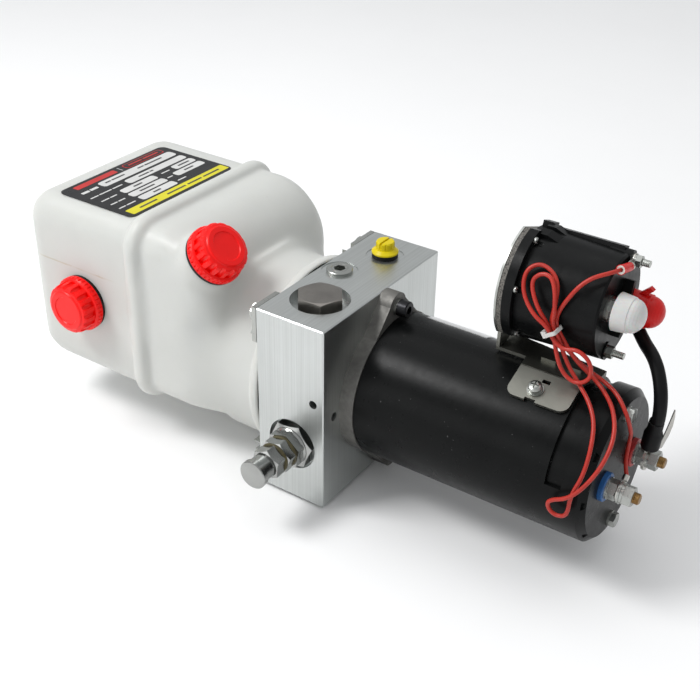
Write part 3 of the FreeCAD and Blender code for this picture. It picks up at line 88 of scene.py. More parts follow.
WIRE_PATH = [
    (0.20080, 0.02300, 0.21560), (0.20000, 0.00900, 0.21880),
    (0.18400, -0.00100, 0.21250), (0.17400, -0.01100, 0.19400),
    (0.16990, -0.00910, 0.17953), (0.17530, -0.00910, 0.17112),
    (0.18750, -0.00900, 0.15600), (0.20000, -0.00350, 0.14400),
    (0.21200, -0.00950, 0.13950), (0.22350, -0.02100, 0.13600),
    (0.23200, -0.03600, 0.12800), (0.23250, -0.04900, 0.11500),
    (0.22650, -0.05950, 0.10000), (0.21750, -0.06540, 0.08850),
    (0.20430, -0.06420, 0.08110), (0.20290, -0.06320, 0.07500),
    (0.20650, -0.06260, 0.06990), (0.21270, -0.06220, 0.06920),
    (0.21740, -0.06200, 0.07330), (0.21750, -0.06180, 0.08850),
    (0.22200, -0.05650, 0.10300), (0.22100, -0.04600, 0.11850),
    (0.21600, -0.03300, 0.13050), (0.20600, -0.02250, 0.13800),
    (0.19300, -0.01180, 0.14150), (0.18350, -0.01180, 0.15300),
    (0.17505, -0.01250, 0.17096), (0.16965, -0.01250, 0.17937),
    (0.17130, -0.01460, 0.19000), (0.16750, -0.00980, 0.20450),
    (0.16180, -0.00600, 0.21060), (0.15400, -0.00600, 0.20980),
    (0.14950, -0.00900, 0.20350),
    (0.15750, -0.01400, 0.19000), (0.16695, -0.01250, 0.17764),
    (0.17235, -0.01250, 0.16923), (0.17700, -0.01570, 0.15850),
    (0.18300, -0.01600, 0.14700), (0.19350, -0.01600, 0.14250),
    (0.20300, -0.01600, 0.15000), (0.20150, -0.01600, 0.16250),
    (0.19150, -0.01600, 0.16900), (0.18100, -0.01640, 0.16550),
    (0.17319, -0.01590, 0.16977), (0.16779, -0.01590, 0.17818),
    (0.15650, -0.01640, 0.18450), (0.14480, -0.01060, 0.19550),
    (0.14250, -0.00340, 0.20850), (0.15200, 0.00180, 0.21400),
    (0.16630, -0.00240, 0.20800), (0.16980, -0.01120, 0.19250),
    (0.16695, -0.00910, 0.17764), (0.17235, -0.00910, 0.16923),
    (0.18100, -0.00550, 0.15850), (0.19350, 0.00050, 0.14550),
    (0.20600, 0.00100, 0.14100), (0.21900, -0.00550, 0.13900),
    (0.23050, -0.01350, 0.13100), (0.23350, -0.00880, 0.11600),
    (0.23080, 0.00050, 0.10550), (0.23060, -0.00050, 0.09500),
    (0.23300, -0.00850, 0.08900), (0.23780, -0.01550, 0.08520),
]


def cord_curve(name, points, radius):
    data = bpy.data.curves.new(name, "CURVE")
    data.dimensions = "3D"
    data.bevel_depth = 1.0
    data.bevel_resolution = 6
    data.resolution_u = 10
    data.use_fill_caps = True
    spline = data.splines.new("NURBS")
    spline.points.add(len(points) - 1)
    for knot, point in zip(spline.points, points):
        knot.co = (*point, 1)
        knot.radius = radius
    spline.order_u = 3
    spline.use_endpoint_u = True
    obj = bpy.data.objects.new(name, data)
    SCENE.collection.objects.link(obj)
    return obj


battery_cable = cord_curve("battery_cable_sheath", BATTERY_PATH, 0.00475)
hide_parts("battery_cable")
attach(battery_cable, "unit")
control_wire = cord_curve("control_wire_sheath", WIRE_PATH, 0.00145)
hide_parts("control_wire")
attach(control_wire, "unit")

# ---------------------------------------------------------------- materials


class Surface:
    """One procedural material; coordinates are the row frame in metres."""

    def __init__(self, name):
        self.material = bpy.data.materials.new(name)
        self.material.use_nodes = True
        self.tree = self.material.node_tree
        self.shader = self.tree.nodes["Principled BSDF"]
        self.coords = self.tree.nodes.new("ShaderNodeTexCoord").outputs["Object"]
        self.height = None

    def link(self, source, target):
        self.tree.links.new(source, target)

    def stretched(self, stretch):
        node = self.tree.nodes.new("ShaderNodeMapping")
        node.inputs["Scale"].default_value = stretch
        self.link(self.coords, node.inputs["Vector"])
        return node.outputs["Vector"]

    def noise(self, scale, detail=4.0, rough=0.55, stretch=(1, 1, 1)):
        node = self.tree.nodes.new("ShaderNodeTexNoise")
        node.inputs["Scale"].default_value = scale
        node.inputs["Detail"].default_value = detail
        node.inputs["Roughness"].default_value = rough
        self.link(self.stretched(stretch), node.inputs["Vector"])
        return node.outputs["Fac"]

    def ranged(self, value, low, high, to_low, to_high):
        node = self.tree.nodes.new("ShaderNodeMapRange")
        node.inputs["From Min"].default_value = low
        node.inputs["From Max"].default_value = high
        node.inputs["To Min"].default_value = to_low
        node.inputs["To Max"].default_value = to_high
        self.link(value, node.inputs["Value"])
        return node.outputs["Result"]

    def mixed(self, factor, first, second):
        node = self.tree.nodes.new("ShaderNodeMix")
        node.data_type = "RGBA"
        self.link(factor, node.inputs["Factor"])
        for socket, colour in ((node.inputs[6], first), (node.inputs[7], second)):
            if isinstance(colour, tuple):
                socket.default_value = (*colour, 1)
            else:
                self.link(colour, socket)
        return node.outputs[2]

    def colour(self, source):
        self.link(source, self.shader.inputs["Base Color"])
        return self

    def rough(self, value, low, high):
        self.link(self.ranged(value, 0.3, 0.7, low, high), self.shader.inputs["Roughness"])
        return self

    def bump(self, value, strength, distance=0.0005):
        node = self.tree.nodes.new("ShaderNodeBump")
        node.inputs["Strength"].default_value = strength
        node.inputs["Distance"].default_value = distance
        self.link(value, node.inputs["Height"])
        if self.height is not None:
            self.link(self.height, node.inputs["Normal"])
        self.height = node.outputs["Normal"]
        self.link(self.height, self.shader.inputs["Normal"])
        return self

    def set(self, **values):
        for key, value in values.items():
            self.shader.inputs[key.replace("_", " ")].default_value = value
        return self


def plastic(name, light, dark, low=0.3, high=0.45, grain=900.0, bump=0.12, **values):
    s = Surface(name)
    cloud = s.noise(55.0, 5.0)
    s.colour(s.mixed(s.ranged(cloud, 0.3, 0.7, 0, 1), light, dark))
    s.rough(s.noise(160.0, 4.0), low, high)
    s.bump(s.noise(grain, 3.0), bump, 0.0002)
    s.bump(s.noise(70.0, 2.0), bump * 0.7, 0.0004)
    return s.set(**values)


def metal(name, light, dark, low=0.22, high=0.34, stretch=(1, 1, 1), grain=700.0, bump=0.03,
          **values):
    s = Surface(name)
    cloud = s.noise(45.0, 5.0)
    s.colour(s.mixed(s.ranged(cloud, 0.3, 0.7, 0, 1), light, dark))
    s.rough(s.noise(grain, 4.0, 0.6, stretch), low, high)
    s.bump(s.noise(grain * 2.2, 3.0, 0.6, stretch), bump, 0.0001)
    return s.set(Metallic=1.0, **values)


M = {}


def block_surface():
    """Milled aluminium: cutter lines along Y on top, along Z on the sides."""
    s = Surface("block_aluminium")
    lines_top = s.noise(1.0, 3.0, 0.6, (620, 5, 5))
    lines_side = s.noise(1.0, 3.0, 0.6, (1300, 1300, 5))
    bands = s.noise(1.0, 2.0, 0.5, (170, 2, 1))
    facing = s.tree.nodes.new("ShaderNodeTexCoord").outputs["Normal"]
    split = s.tree.nodes.new("ShaderNodeSeparateXYZ")
    s.link(facing, split.inputs[0])
    on_top = s.ranged(split.outputs["Z"], 0.4, 0.6, 0, 1)
    pick = s.tree.nodes.new("ShaderNodeMix")
    s.link(on_top, pick.inputs["Factor"])
    s.link(lines_side, pick.inputs[2])
    s.link(lines_top, pick.inputs[3])
    lines = pick.outputs[0]
    tone = s.mixed(s.ranged(lines, 0.3, 0.7, 0, 1), (0.60, 0.622, 0.614), (0.50, 0.518, 0.508))
    cloud = s.noise(22.0, 5.0)
    s.colour(s.mixed(s.ranged(cloud, 0.35, 0.75, 0, 0.35), tone, (0.44, 0.455, 0.44)))
    mix = s.tree.nodes.new("ShaderNodeMix")
    mix.inputs["Factor"].default_value = 0.45
    s.link(lines, mix.inputs[2])
    s.link(bands, mix.inputs[3])
    s.rough(mix.outputs[0], 0.26, 0.44)
    s.bump(lines, 0.07, 0.0002)
    s.bump(s.noise(1.0, 3.0, 0.5, (60, 9, 60)), 0.02, 0.0005)
    return s.set(Metallic=1.0)


M["block_aluminium"] = block_surface()
M["zinc_steel"] = metal("zinc_steel", (0.44, 0.45, 0.43), (0.37, 0.38, 0.36), 0.26, 0.34)
M["plug_steel"] = metal("plug_steel", (0.27, 0.255, 0.235), (0.19, 0.178, 0.165), 0.30, 0.42)
M["relief_zinc"] = metal("relief_zinc", (0.40, 0.405, 0.395), (0.31, 0.315, 0.305), 0.16, 0.26)
M["bonded_rubber"] = plastic("bonded_rubber", (0.10, 0.085, 0.03), (0.06, 0.05, 0.02), 0.4, 0.6)
M["inner_steel"] = metal("inner_steel", (0.62, 0.62, 0.62), (0.45, 0.45, 0.46), 0.25, 0.4)
M["spring_steel"] = metal("spring_steel", (0.5, 0.5, 0.5), (0.35, 0.35, 0.36), 0.25, 0.4)
M["black_rubber"] = plastic("black_rubber", (0.004, 0.004, 0.004), (0.007, 0.007, 0.007), 0.45, 0.65,
                           Specular_IOR_Level=0.2)
M["yellow_plastic"] = plastic("yellow_plastic", (0.70, 0.56, 0.0015), (0.62, 0.49, 0.001), 0.3, 0.42,
                             Specular_IOR_Level=0.25)
M["red_plastic"] = plastic("red_plastic", (0.92, 0.003, 0.002), (0.85, 0.002, 0.0015), 0.28, 0.40,
                           Subsurface_Weight=0.18, Subsurface_Scale=0.004,
                           Specular_IOR_Level=0.28)
M["pump_aluminium"] = metal("pump_aluminium", (0.70, 0.70, 0.70), (0.52, 0.52, 0.52), 0.35, 0.5)
M["sintered_bronze"] = metal("sintered_bronze", (0.55, 0.38, 0.18), (0.42, 0.28, 0.13), 0.4, 0.55)
M["tube_steel"] = metal("tube_steel", (0.65, 0.65, 0.65), (0.5, 0.5, 0.5), 0.25, 0.4)
M["black_screw"] = metal("black_screw", (0.045, 0.045, 0.047), (0.02, 0.02, 0.022), 0.28, 0.45)
M["plate_silver"] = metal("plate_silver", (0.80, 0.80, 0.80), (0.66, 0.66, 0.66), 0.25, 0.4,
                          (1, 30, 30))
M["core_steel"] = metal("core_steel", (0.28, 0.28, 0.29), (0.16, 0.16, 0.17), 0.4, 0.6, (60, 1, 1))
M["copper"] = metal("copper", (0.80, 0.34, 0.16), (0.60, 0.22, 0.09), 0.25, 0.4)
M["carrier_board"] = plastic("carrier_board", (0.22, 0.10, 0.045), (0.15, 0.065, 0.03), 0.4, 0.55)
M["carbon"] = plastic("carbon", (0.035, 0.035, 0.035), (0.02, 0.02, 0.02), 0.5, 0.7)
M["red_insulator"] = plastic("red_insulator", (0.50, 0.02, 0.02), (0.36, 0.012, 0.012), 0.35, 0.5)
M["blue_insulator"] = plastic("blue_insulator", (0.012, 0.105, 0.32), (0.01, 0.075, 0.24), 0.35, 0.5)
M["relay_plastic"] = plastic("relay_plastic", (0.0050, 0.0054, 0.0056), (0.003, 0.0033, 0.0035),
                             0.26, 0.40, 700.0, 0.14, Specular_IOR_Level=0.5, IOR=1.22)
M["white_plastic"] = plastic("white_plastic", (0.60, 0.60, 0.59), (0.54, 0.54, 0.53), 0.25, 0.36,
                             Subsurface_Weight=0.25, Subsurface_Scale=0.004)
M["red_rubber"] = plastic("red_rubber", (0.66, 0.006, 0.005), (0.54, 0.004, 0.003), 0.32, 0.45,
                          Specular_IOR_Level=0.3)
M["cable_black"] = plastic("cable_black", (0.006, 0.006, 0.0065), (0.004, 0.004, 0.0045), 0.34, 0.5,
                           1400.0, 0.25, Specular_IOR_Level=0.5, IOR=1.25)
M["tinned_copper"] = metal("tinned_copper", (0.62, 0.61, 0.57), (0.52, 0.50, 0.46), 0.25, 0.36)
M["wire_red"] = plastic("wire_red", (0.47, 0.032, 0.020), (0.37, 0.020, 0.013), 0.28, 0.4,
                        1800.0, 0.2, Specular_IOR_Level=0.35)
M["tie_nylon"] = plastic("tie_nylon", (0.64, 0.64, 0.62), (0.56, 0.56, 0.54), 0.3, 0.4)
M["label_film"] = plastic("label_film", (0.010, 0.010, 0.011), (0.015, 0.015, 0.016), 0.26, 0.38,
                          1500.0, 0.06, Specular_IOR_Level=0.25)


def motor_surface():
    """Satin black paint with faint orange peel, dust specks and small scuffs."""
    s = Surface("motor_paint")
    cloud = s.noise(30.0, 6.0)
    tone = s.mixed(s.ranged(cloud, 0.3, 0.7, 0, 1), (0.0030, 0.0033, 0.0034), (0.0050, 0.0054, 0.0054))
    specks = s.ranged(s.noise(420.0, 2.0), 0.735, 0.77, 0, 1)
    s.colour(s.mixed(specks, tone, (0.10, 0.10, 0.10)))
    s.rough(s.noise(140.0, 5.0), 0.26, 0.34)
    s.bump(s.noise(520.0, 3.0), 0.07, 0.0003)
    s.bump(s.noise(1.0, 3.0, 0.5, (12, 120, 120)), 0.04, 0.0006)
    return s.set(Specular_IOR_Level=0.5, IOR=1.2)


def cast_surface():
    s = Surface("cast_flange")
    cloud = s.noise(60.0, 6.0)
    s.colour(s.mixed(s.ranged(cloud, 0.3, 0.7, 0, 1), (0.21, 0.205, 0.192), (0.125, 0.122, 0.115)))
    s.rough(s.noise(240.0, 5.0), 0.5, 0.66)
    s.bump(s.noise(1100.0, 4.0), 0.4, 0.0003)
    return s.set(Metallic=0.8)


def gasket_surface():
    s = Surface("gasket_fibre")
    specks = s.ranged(s.noise(900.0, 3.0), 0.45, 0.62, 0, 1)
    s.colour(s.mixed(specks, (0.15, 0.14, 0.125), (0.035, 0.033, 0.03)))
    s.rough(s.noise(300.0), 0.6, 0.8)
    return s.bump(s.noise(1200.0, 3.0), 0.3, 0.0003)


def tank_surface():
    """Milky blow-moulded polyethylene: soft unevenness, fine grain, a faint level line."""
    s = Surface("tank_plastic")
    cloud = s.noise(9.0, 4.0)
    tone = s.mixed(s.ranged(cloud, 0.3, 0.7, 0, 1), (0.585, 0.592, 0.565), (0.53, 0.537, 0.510))
    fine = s.ranged(s.noise(300.0, 3.0), 0.66, 0.75, 0, 0.35)
    tone = s.mixed(fine, tone, (0.50, 0.49, 0.46))
    split = s.tree.nodes.new("ShaderNodeSeparateXYZ")
    s.link(s.coords, split.inputs[0])
    level = s.tree.nodes.new("ShaderNodeMath")
    level.operation = "COMPARE"
    level.inputs[1].default_value = 0.1335
    level.inputs[2].default_value = 0.0007
    s.link(split.outputs["Z"], level.inputs[0])
    front = s.ranged(split.outputs["Y"], -0.079, -0.081, 0, 1)
    reach = s.ranged(split.outputs["X"], -0.163, -0.175, 0, 1)
    streak = s.ranged(s.noise(1.0, 3.0, 0.6, (60, 60, 400)), 0.42, 0.62, 0, 0.55)
    mask = level.outputs[0]
    for part in (front, reach, streak):
        times = s.tree.nodes.new("ShaderNodeMath")
        times.operation = "MULTIPLY"
        s.link(mask, times.inputs[0])
        s.link(part, times.inputs[1])
        mask = times.outputs[0]
    s.colour(s.mixed(mask, tone, (0.42, 0.36, 0.24)))
    s.rough(s.noise(60.0, 4.0), 0.34, 0.46)
    s.bump(s.noise(18.0, 3.0), 0.12, 0.0012)
    s.bump(s.noise(420.0, 3.0), 0.10, 0.0003)
    return s.set(Subsurface_Weight=0.35, Subsurface_Scale=0.012,
                 Subsurface_Radius=(1.0, 0.95, 0.85), Specular_IOR_Level=0.3)


def stud_surface():
    """Threaded studs: plain zinc at the relay, brass coloured on the motor."""
    s = Surface("terminal_studs")
    split = s.tree.nodes.new("ShaderNodeSeparateXYZ")
    s.link(s.coords, split.inputs[0])
    brass = s.ranged(split.outputs["Z"], 0.125, 0.120, 0, 1)
    cloud = s.ranged(s.noise(260.0, 4.0), 0.35, 0.65, 0, 1)
    worn = s.mixed(cloud, (0.36, 0.22, 0.085), (0.22, 0.12, 0.045))
    zinc = s.mixed(cloud, (0.55, 0.565, 0.535), (0.44, 0.455, 0.425))
    s.colour(s.mixed(brass, zinc, worn))
    s.rough(s.noise(700.0, 4.0), 0.26, 0.40)
    wave = s.tree.nodes.new("ShaderNodeTexWave")
    wave.inputs["Scale"].default_value = 270.0
    s.link(s.coords, wave.inputs["Vector"])
    s.bump(wave.outputs["Fac"], 0.5, 0.0004)
    return s.set(Metallic=1.0)


M["terminal_studs"] = stud_surface()
M["relay_bracket"] = metal("relay_bracket", (0.27, 0.27, 0.24), (0.22, 0.22, 0.195), 0.34, 0.46,
                           (1, 12, 12), 500.0, 0.02)
M["motor_paint"] = motor_surface()
M["cast_flange"] = cast_surface()
M["gasket_fibre"] = gasket_surface()
M["tank_plastic"] = tank_surface()
SLOT_OF = {part["node"]: part["material_slot"] for part in frame["record"]["subparts"]}
for name, obj in NODES.items():
    obj.data.materials.clear()
    obj.data.materials.append(M.get(name, M[SLOT_OF[name]]).material)
battery_cable.data.materials.append(M["cable_black"].material)
control_wire.data.materials.append(M["wire_red"].material)


# ---------------------------------------------------------------- pieces made here
def piece(name, mesh, material, body="unit"):
    obj = bpy.data.objects.new(name, mesh)
    SCENE.collection.objects.link(obj)
    mesh.materials.append(material.material)
    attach(obj, body)
    return obj


def evaluated(obj):
    """The object's mesh with its modifiers applied; the object itself goes."""
    bpy.context.view_layer.update()
    graph = bpy.context.evaluated_depsgraph_get()
    mesh = bpy.data.meshes.new_from_object(obj.evaluated_get(graph))
    bpy.data.objects.remove(obj)
    return mesh


# The moulded tank in metres: the filler boss, the round neck and the body's rounded section.
FILLER_TILT = math.radians(43)
FILLER_SEAT = Vector((-0.0857, -0.059, 0.1708))
FILLER_REACH = 0.036
NECK_START_X = -0.104
NECK_END_X = -0.054
NECK_AXIS_Z = 0.0775
NECK_RADIUS = 0.075
SECTION_CORNER = 0.020
SECTION_FLAT_Y = 0.0615
SECTION_FLAT_Z = 0.055
SECTION_LIFT = 0.0335
EASE_LENGTH = 0.012


def near_filler(point):
    """1 on the boss that carries the filler cap, 0 away from it."""
    along = Vector((math.cos(FILLER_TILT), 0, math.sin(FILLER_TILT)))
    offset = point - FILLER_SEAT
    height = offset.dot(along)
    reach = (offset - along * height).length
    if height > -0.0005:
        return 0.0
    return max(0.0, min(1.0, (FILLER_REACH - reach) / 0.006))


def near_neck(point):
    """1 where the tank body runs into its round neck, 0 away from it."""
    return max(0.0, min(1.0, (point.x - NECK_START_X) / EASE_LENGTH, (-0.046 - point.x) / 0.006,
                        (point.z - 0.030) / 0.020))


def eased(value):
    """A smooth step from 0 to 1."""
    value = max(0.0, min(1.0, value))
    return value * value * (3 - 2 * value)


def body_reach(rise, side):
    """Distance from the neck's axis to the tank body's rounded section, in one direction."""
    low, high = 0.03, 0.16
    for _ in range(18):
        reach = (low + high) / 2
        across = abs(reach * side) - SECTION_FLAT_Y
        up = abs(reach * rise - SECTION_LIFT) - SECTION_FLAT_Z
        inside = math.hypot(max(across, 0), max(up, 0)) + min(max(across, up), 0) < SECTION_CORNER
        low, high = (reach, high) if inside else (low, reach)
    return low


def fill_neck_sides(mesh):
    """Carry the tank's side faces into the round neck without a groove between them."""
    normals = [vertex.normal.copy() for vertex in mesh.vertices]
    for vertex, normal in zip(mesh.vertices, normals):
        x, y, z = vertex.co
        if not NECK_START_X < x < NECK_END_X:
            continue
        reach = math.hypot(y, z - NECK_AXIS_Z)
        if reach < 0.045:
            continue
        rise = (z - NECK_AXIS_Z) / reach
        side = y / reach
        if normal.y * side + normal.z * rise < -0.15:
            continue
        below = eased((-0.45 - rise) / 0.12)
        start = NECK_START_X + EASE_LENGTH * below
        end = NECK_END_X - 0.016 * below
        wanted = NECK_RADIUS + (body_reach(rise, side) - NECK_RADIUS) * eased((end - x) / (end - start))
        weight = eased((0.62 - rise) / 0.17)
        if reach > wanted:
            weight *= 1 - below
        push = 1 + (wanted / reach - 1) * weight
        vertex.co.y = y * push
        vertex.co.z = NECK_AXIS_Z + (z - NECK_AXIS_Z) * push


def soft_tank():
    """The CAD tank with its sharp inner corners softened, as blow moulding leaves them."""
    copy = bpy.data.objects.new("tank_soft", NODES["tank"].data.copy())
    SCENE.collection.objects.link(copy)
    remesh = copy.modifiers.new("remesh", "REMESH")
    remesh.mode = "VOXEL"
    remesh.voxel_size = 0.0017
    smooth = copy.modifiers.new("smooth", "SMOOTH")
    smooth.factor = 0.5
    smooth.iterations = 8
    softened = evaluated(copy)
    fill_neck_sides(softened)
    copy = bpy.data.objects.new("tank_soft", softened)
    SCENE.collection.objects.link(copy)
    group = copy.vertex_groups.new(name="soft")
    for vertex in copy.data.vertices:
        weight = max(near_filler(vertex.co), near_neck(vertex.co))
        if weight > 0:
            group.add([vertex.index], weight, "REPLACE")
    smooth = copy.modifiers.new("smooth", "SMOOTH")
    smooth.factor = 0.6
    smooth.iterations = 45
    smooth.vertex_group = "soft"
    mesh = evaluated(copy)
    mesh.materials.clear()
    for face in mesh.polygons:
        face.use_smooth = True
    return mesh


tank_skin = piece("tank_skin", soft_tank(), M["tank_plastic"])
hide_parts("tank")


def lathe(name, outline, base, along, material, around=40):
    """Surface of revolution from (radius, height) points in metres, closed by its outline."""
    mesh = bpy.data.meshes.new(name)
    bm = bmesh.new()
    turn = Vector((0, 0, 1)).rotation_difference(Vector(along).normalized()).to_matrix()
    rings = []
    for r, h in outline:
        count = 1 if r == 0 else around
        rings.append([bm.verts.new(Vector(base) + turn @ Vector(
            (r * math.cos(2 * math.pi * k / around), r * math.sin(2 * math.pi * k / around), h)))
            for k in range(count)])
    for low, high in zip(rings, rings[1:] + rings[:1]):
        for k in range(around):
            n = (k + 1) % around
            corners = [low[k % len(low)], low[n % len(low)], high[n % len(high)],
                       high[k % len(high)]]
            face = list(dict.fromkeys(corners))
            if len(face) > 2:
                bm.faces.new(face)
    bmesh.ops.recalc_face_normals(bm, faces=bm.faces)
    for face in bm.faces:
        face.smooth = True
    bm.to_mesh(mesh)
    bm.free()
    mesh.set_sharp_from_angle(angle=math.radians(35))
    return piece(name, mesh, material)


# each spring is shown by a spring-steel copy of its CAD coil; the joint and travel listed with it are
# not used
for node, joint, axis, fixed_end, travel in (
        ("check_valve_spring", "check_poppet_lift", 2, 0.143, 0.003),
        ("relief_spring", "relief_poppet_lift", 1, -0.101, 0.002),
        ("relay_spring", "relay_plunger_pull", 0, 0.192, 0.003)):
    low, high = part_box(node)
    coil_mesh = NODES[node].data.copy()
    coil_mesh.materials.clear()
    coil = piece(node + "_coil", coil_mesh, M["spring_steel"])
    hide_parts(node)
    direction = Vector((0, 0, 0))
    direction[axis] = 1
    anchor = (Vector(low) + Vector(high)) / 2
    anchor[axis] = fixed_end
    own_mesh(coil)

# red insulating sleeve where the control wire leaves its ring terminal
WIRE_OUT = (Vector(WIRE_PATH[1]) - Vector(WIRE_PATH[0])).normalized()
lathe("wire_sleeve", [(0.00272, -0.0085), (0.00305, -0.008), (0.0031, 0.001), (0.0034, 0.0055),
                      (0.0035, 0.0068), (0.0031, 0.0069), (0.0026, 0.0045), (0.00153, 0.0035),
                      (0.00153, -0.0002), (0.00268, -0.0002)],
      WIRE_PATH[0], WIRE_OUT, M["red_rubber"])
# heat-shrink over the cable lug
LUG_UP = (Vector(BATTERY_PATH[-2]) - Vector(BATTERY_PATH[-1])).normalized()
lathe("lug_shrink", [(0.00648, -0.0006), (0.0067, -0.0004), (0.00672, 0.0122), (0.0060, 0.0145),
                     (0.0054, 0.0165), (0.0053, 0.0245), (0.00485, 0.0247), (0.0049, 0.0140),
                     (0.00636, 0.0126), (0.00636, -0.0005)],
      BATTERY_PATH[-1], LUG_UP, M["cable_black"])


def rounded_outline(x0, x1, y0, y1, radius, steps=5):
    points = []
    for cx, cy, start in ((x1 - radius, y1 - radius, 0), (x0 + radius, y1 - radius, 90),
                          (x0 + radius, y0 + radius, 180), (x1 - radius, y0 + radius, 270)):
        for i in range(steps + 1):
            a = math.radians(start + 90 * i / steps)
            points.append((cx + radius * math.cos(a), cy + radius * math.sin(a)))
    return points


def printed(name, outlines, z0, z1, material):
    """Thin flat shapes lying on the tank's label."""
    mesh = bpy.data.meshes.new(name)
    bm = bmesh.new()
    for outline in outlines:
        low = [bm.verts.new((x, y, z0)) for x, y in outline]
        high = [bm.verts.new((x, y, z1)) for x, y in outline]
        bm.faces.new(high)
        bm.faces.new(low[::-1])
        for i in range(len(outline)):
            j = (i + 1) % len(outline)
            bm.faces.new((low[i], low[j], high[j], high[i]))
    bm.to_mesh(mesh)
    bm.free()
    return piece(name, mesh, material)


def on_label(u0, u1, v0, v1, radius):
    """Rounded box in label fractions: u along +Y, v along +X."""
    x0 = -0.237 + 0.0805 * v0
    x1 = -0.237 + 0.0805 * v1
    y0 = -0.0665 + 0.121 * u0
    y1 = -0.0665 + 0.121 * u1
    return rounded_outline(x0, x1, y0, y1, radius)


INK_Z0 = 0.1862
INK_Z1 = 0.18636
ink_white = plastic("ink_white", (0.62, 0.62, 0.61), (0.55, 0.55, 0.54), 0.3, 0.42, 1500.0, 0.05)
ink_red = plastic("ink_red", (0.50, 0.012, 0.010), (0.42, 0.009, 0.008), 0.3, 0.42, 1500.0, 0.05)
ink_yellow = plastic("ink_yellow", (0.66, 0.60, 0.006), (0.60, 0.54, 0.005), 0.3, 0.42, 1500.0, 0.05)
ink_dark = plastic("ink_dark", (0.05, 0.05, 0.052), (0.03, 0.03, 0.031), 0.3, 0.42, 1500.0, 0.05)
INK_Z2 = 0.18650
fields = [on_label(0.245, 0.955, 0.160, 0.285, 0.0028), on_label(0.385, 0.955, 0.325, 0.425, 0.0024),
          on_label(0.250, 0.570, 0.455, 0.555, 0.0024), on_label(0.750, 0.955, 0.455, 0.555, 0.0024),
          on_label(0.240, 0.575, 0.580, 0.680, 0.0024), on_label(0.675, 0.955, 0.580, 0.680, 0.0024),
          on_label(0.245, 0.580, 0.705, 0.805, 0.0024)]
marks = [on_label(0.07, 0.135, 0.205, 0.245, 0.0006), on_label(0.145, 0.215, 0.205, 0.245, 0.0006)]
for v, words in ((0.365, ((0.05, 0.12), (0.13, 0.24), (0.25, 0.34))),
                 (0.495, ((0.06, 0.13), (0.14, 0.20), (0.63, 0.71))),
                 (0.620, ((0.06, 0.12), (0.13, 0.19), (0.60, 0.65))),
                 (0.745, ((0.05, 0.11), (0.12, 0.20), (0.61, 0.69)))):
    for u0, u1 in words:
        marks.append(on_label(u0, u1, v, v + 0.018, 0.0003))
print_marks = []
for v, words in ((0.205, ((0.29, 0.34), (0.35, 0.47), (0.60, 0.66), (0.67, 0.84))),
                 (0.362, ((0.50, 0.60), (0.61, 0.64))), (0.492, ((0.36, 0.44), (0.80, 0.91))),
                 (0.617, ((0.33, 0.47), (0.77, 0.86))), (0.742, ((0.37, 0.44),)),
                 (0.885, ((0.14, 0.30), (0.40, 0.58), (0.60, 0.74), (0.76, 0.92)))):
    for u0, u1 in words:
        print_marks.append(on_label(u0, u1, v, v + 0.022, 0.0003))
printed("label_fields", fields, INK_Z0, INK_Z1, ink_white)
printed("label_marks", marks, INK_Z0, INK_Z1, ink_white)
printed("label_red", [on_label(0.10, 0.475, 0.045, 0.125, 0.0012),
                      on_label(0.56, 0.935, 0.035, 0.135, 0.0024)], INK_Z0, INK_Z1, ink_red)
printed("label_box", [on_label(0.568, 0.927, 0.045, 0.125, 0.0018)], INK_Z1, INK_Z2, M["label_film"])
printed("label_box_marks", [on_label(0.60, 0.73, 0.075, 0.098, 0.0004),
                            on_label(0.745, 0.895, 0.075, 0.098, 0.0004)], INK_Z2, INK_Z2 + 0.00008,
        ink_red)
printed("label_rule", [on_label(0.514, 0.519, 0.04, 0.13, 0.0002)], INK_Z0, INK_Z1, ink_white)
printed("label_band", [on_label(0.045, 0.985, 0.835, 0.955, 0.0010)], INK_Z0, INK_Z1, ink_yellow)
printed("label_print", print_marks, INK_Z1, INK_Z2, ink_dark)

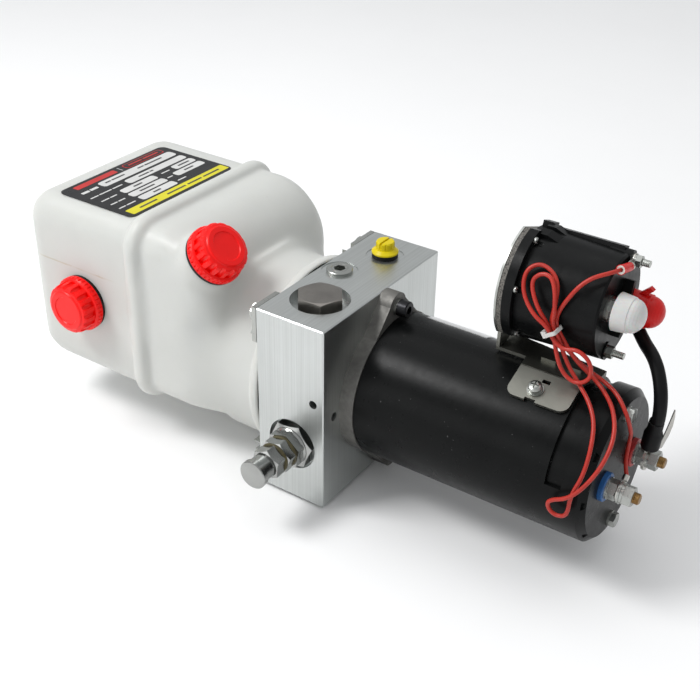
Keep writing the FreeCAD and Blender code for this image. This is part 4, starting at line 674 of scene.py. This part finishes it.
# flat pointed tail of the cable's lug, lying along the outside of the cable
TAIL_FOOT = Vector((0.2442, 0.0258, 0.0860))
TAIL_TIP = Vector((0.2512, 0.0215, 0.1240))
tail_side = Vector((0.35, 0.93, 0.0)).normalized()
tail_out = (TAIL_TIP - TAIL_FOOT).cross(tail_side).normalized() * 0.0004
tail_mesh = bpy.data.meshes.new("lug_tail")
bm = bmesh.new()
tail_rings = []
for along, half in ((0.0, 0.0026), (0.35, 0.0030), (0.6, 0.0027), (0.82, 0.0016), (1.0, 0.0003)):
    centre = TAIL_FOOT.lerp(TAIL_TIP, along) + Vector((0.0012, 0, 0)) * (along - along * along) * 4
    ends = (centre - tail_side * half, centre + tail_side * half)
    tail_rings.append([bm.verts.new(end + out) for end, out in
                       ((ends[0], -tail_out), (ends[1], -tail_out), (ends[1], tail_out),
                        (ends[0], tail_out))])
for low, high in zip(tail_rings, tail_rings[1:]):
    for i in range(4):
        j = (i + 1) % 4
        bm.faces.new((low[i], low[j], high[j], high[i]))
bm.faces.new(tail_rings[0][::-1])
bm.faces.new(tail_rings[-1])
bmesh.ops.recalc_face_normals(bm, faces=bm.faces)
bm.to_mesh(tail_mesh)
bm.free()
piece("lug_tail", tail_mesh, M["tinned_copper"])

# ---------------------------------------------------------------- floor and light
floor_mesh = bpy.data.meshes.new("floor")
floor_mesh.from_pydata([(-6, -6, -0.0026), (6, -6, -0.0026), (6, 6, -0.0026), (-6, 6, -0.0026)], [],
                       [(0, 1, 2, 3)])
floor = bpy.data.objects.new("floor", floor_mesh)
SCENE.collection.objects.link(floor)
floor_surface = Surface("floor")
floor_tone = floor_surface.noise(3.0, 3.0)
floor_surface.colour(floor_surface.mixed(floor_surface.ranged(floor_tone, 0.3, 0.7, 0, 1),
                                         (0.95, 0.95, 0.95), (0.935, 0.935, 0.935)))
floor_surface.rough(floor_surface.noise(20.0), 0.7, 0.8)
floor_mesh.materials.append(floor_surface.material)


def area_light(name, place, target, size, power, size_y=None):
    data = bpy.data.lights.new(name, "AREA")
    data.energy = power
    data.shape = "RECTANGLE"
    data.size = size
    data.size_y = size_y or size
    light = bpy.data.objects.new(name, data)
    SCENE.collection.objects.link(light)
    direction = Vector(target) - Vector(place)
    light.location = place
    light.rotation_euler = direction.to_track_quat("-Z", "Y").to_euler()
    return light


area_light("key", (-0.85, -0.74, 1.55), (0.05, 0.0, 0.1), 0.7, 21, 0.55)
area_light("top", (-0.1, 0.5, 2.0), (0.0, 0.0, 0.1), 2.0, 8, 1.4)
area_light("front", (-0.9, -1.9, 0.6), (0.0, 0.0, 0.1), 1.4, 5, 0.9)
world = bpy.data.worlds.new("world")
world.use_nodes = True
background = world.node_tree.nodes["Background"]
background.inputs["Color"].default_value = (0.97, 0.985, 1.0, 1)
background.inputs["Strength"].default_value = 0.6
SCENE.world = world
SCENE.view_settings.view_transform = "Standard"
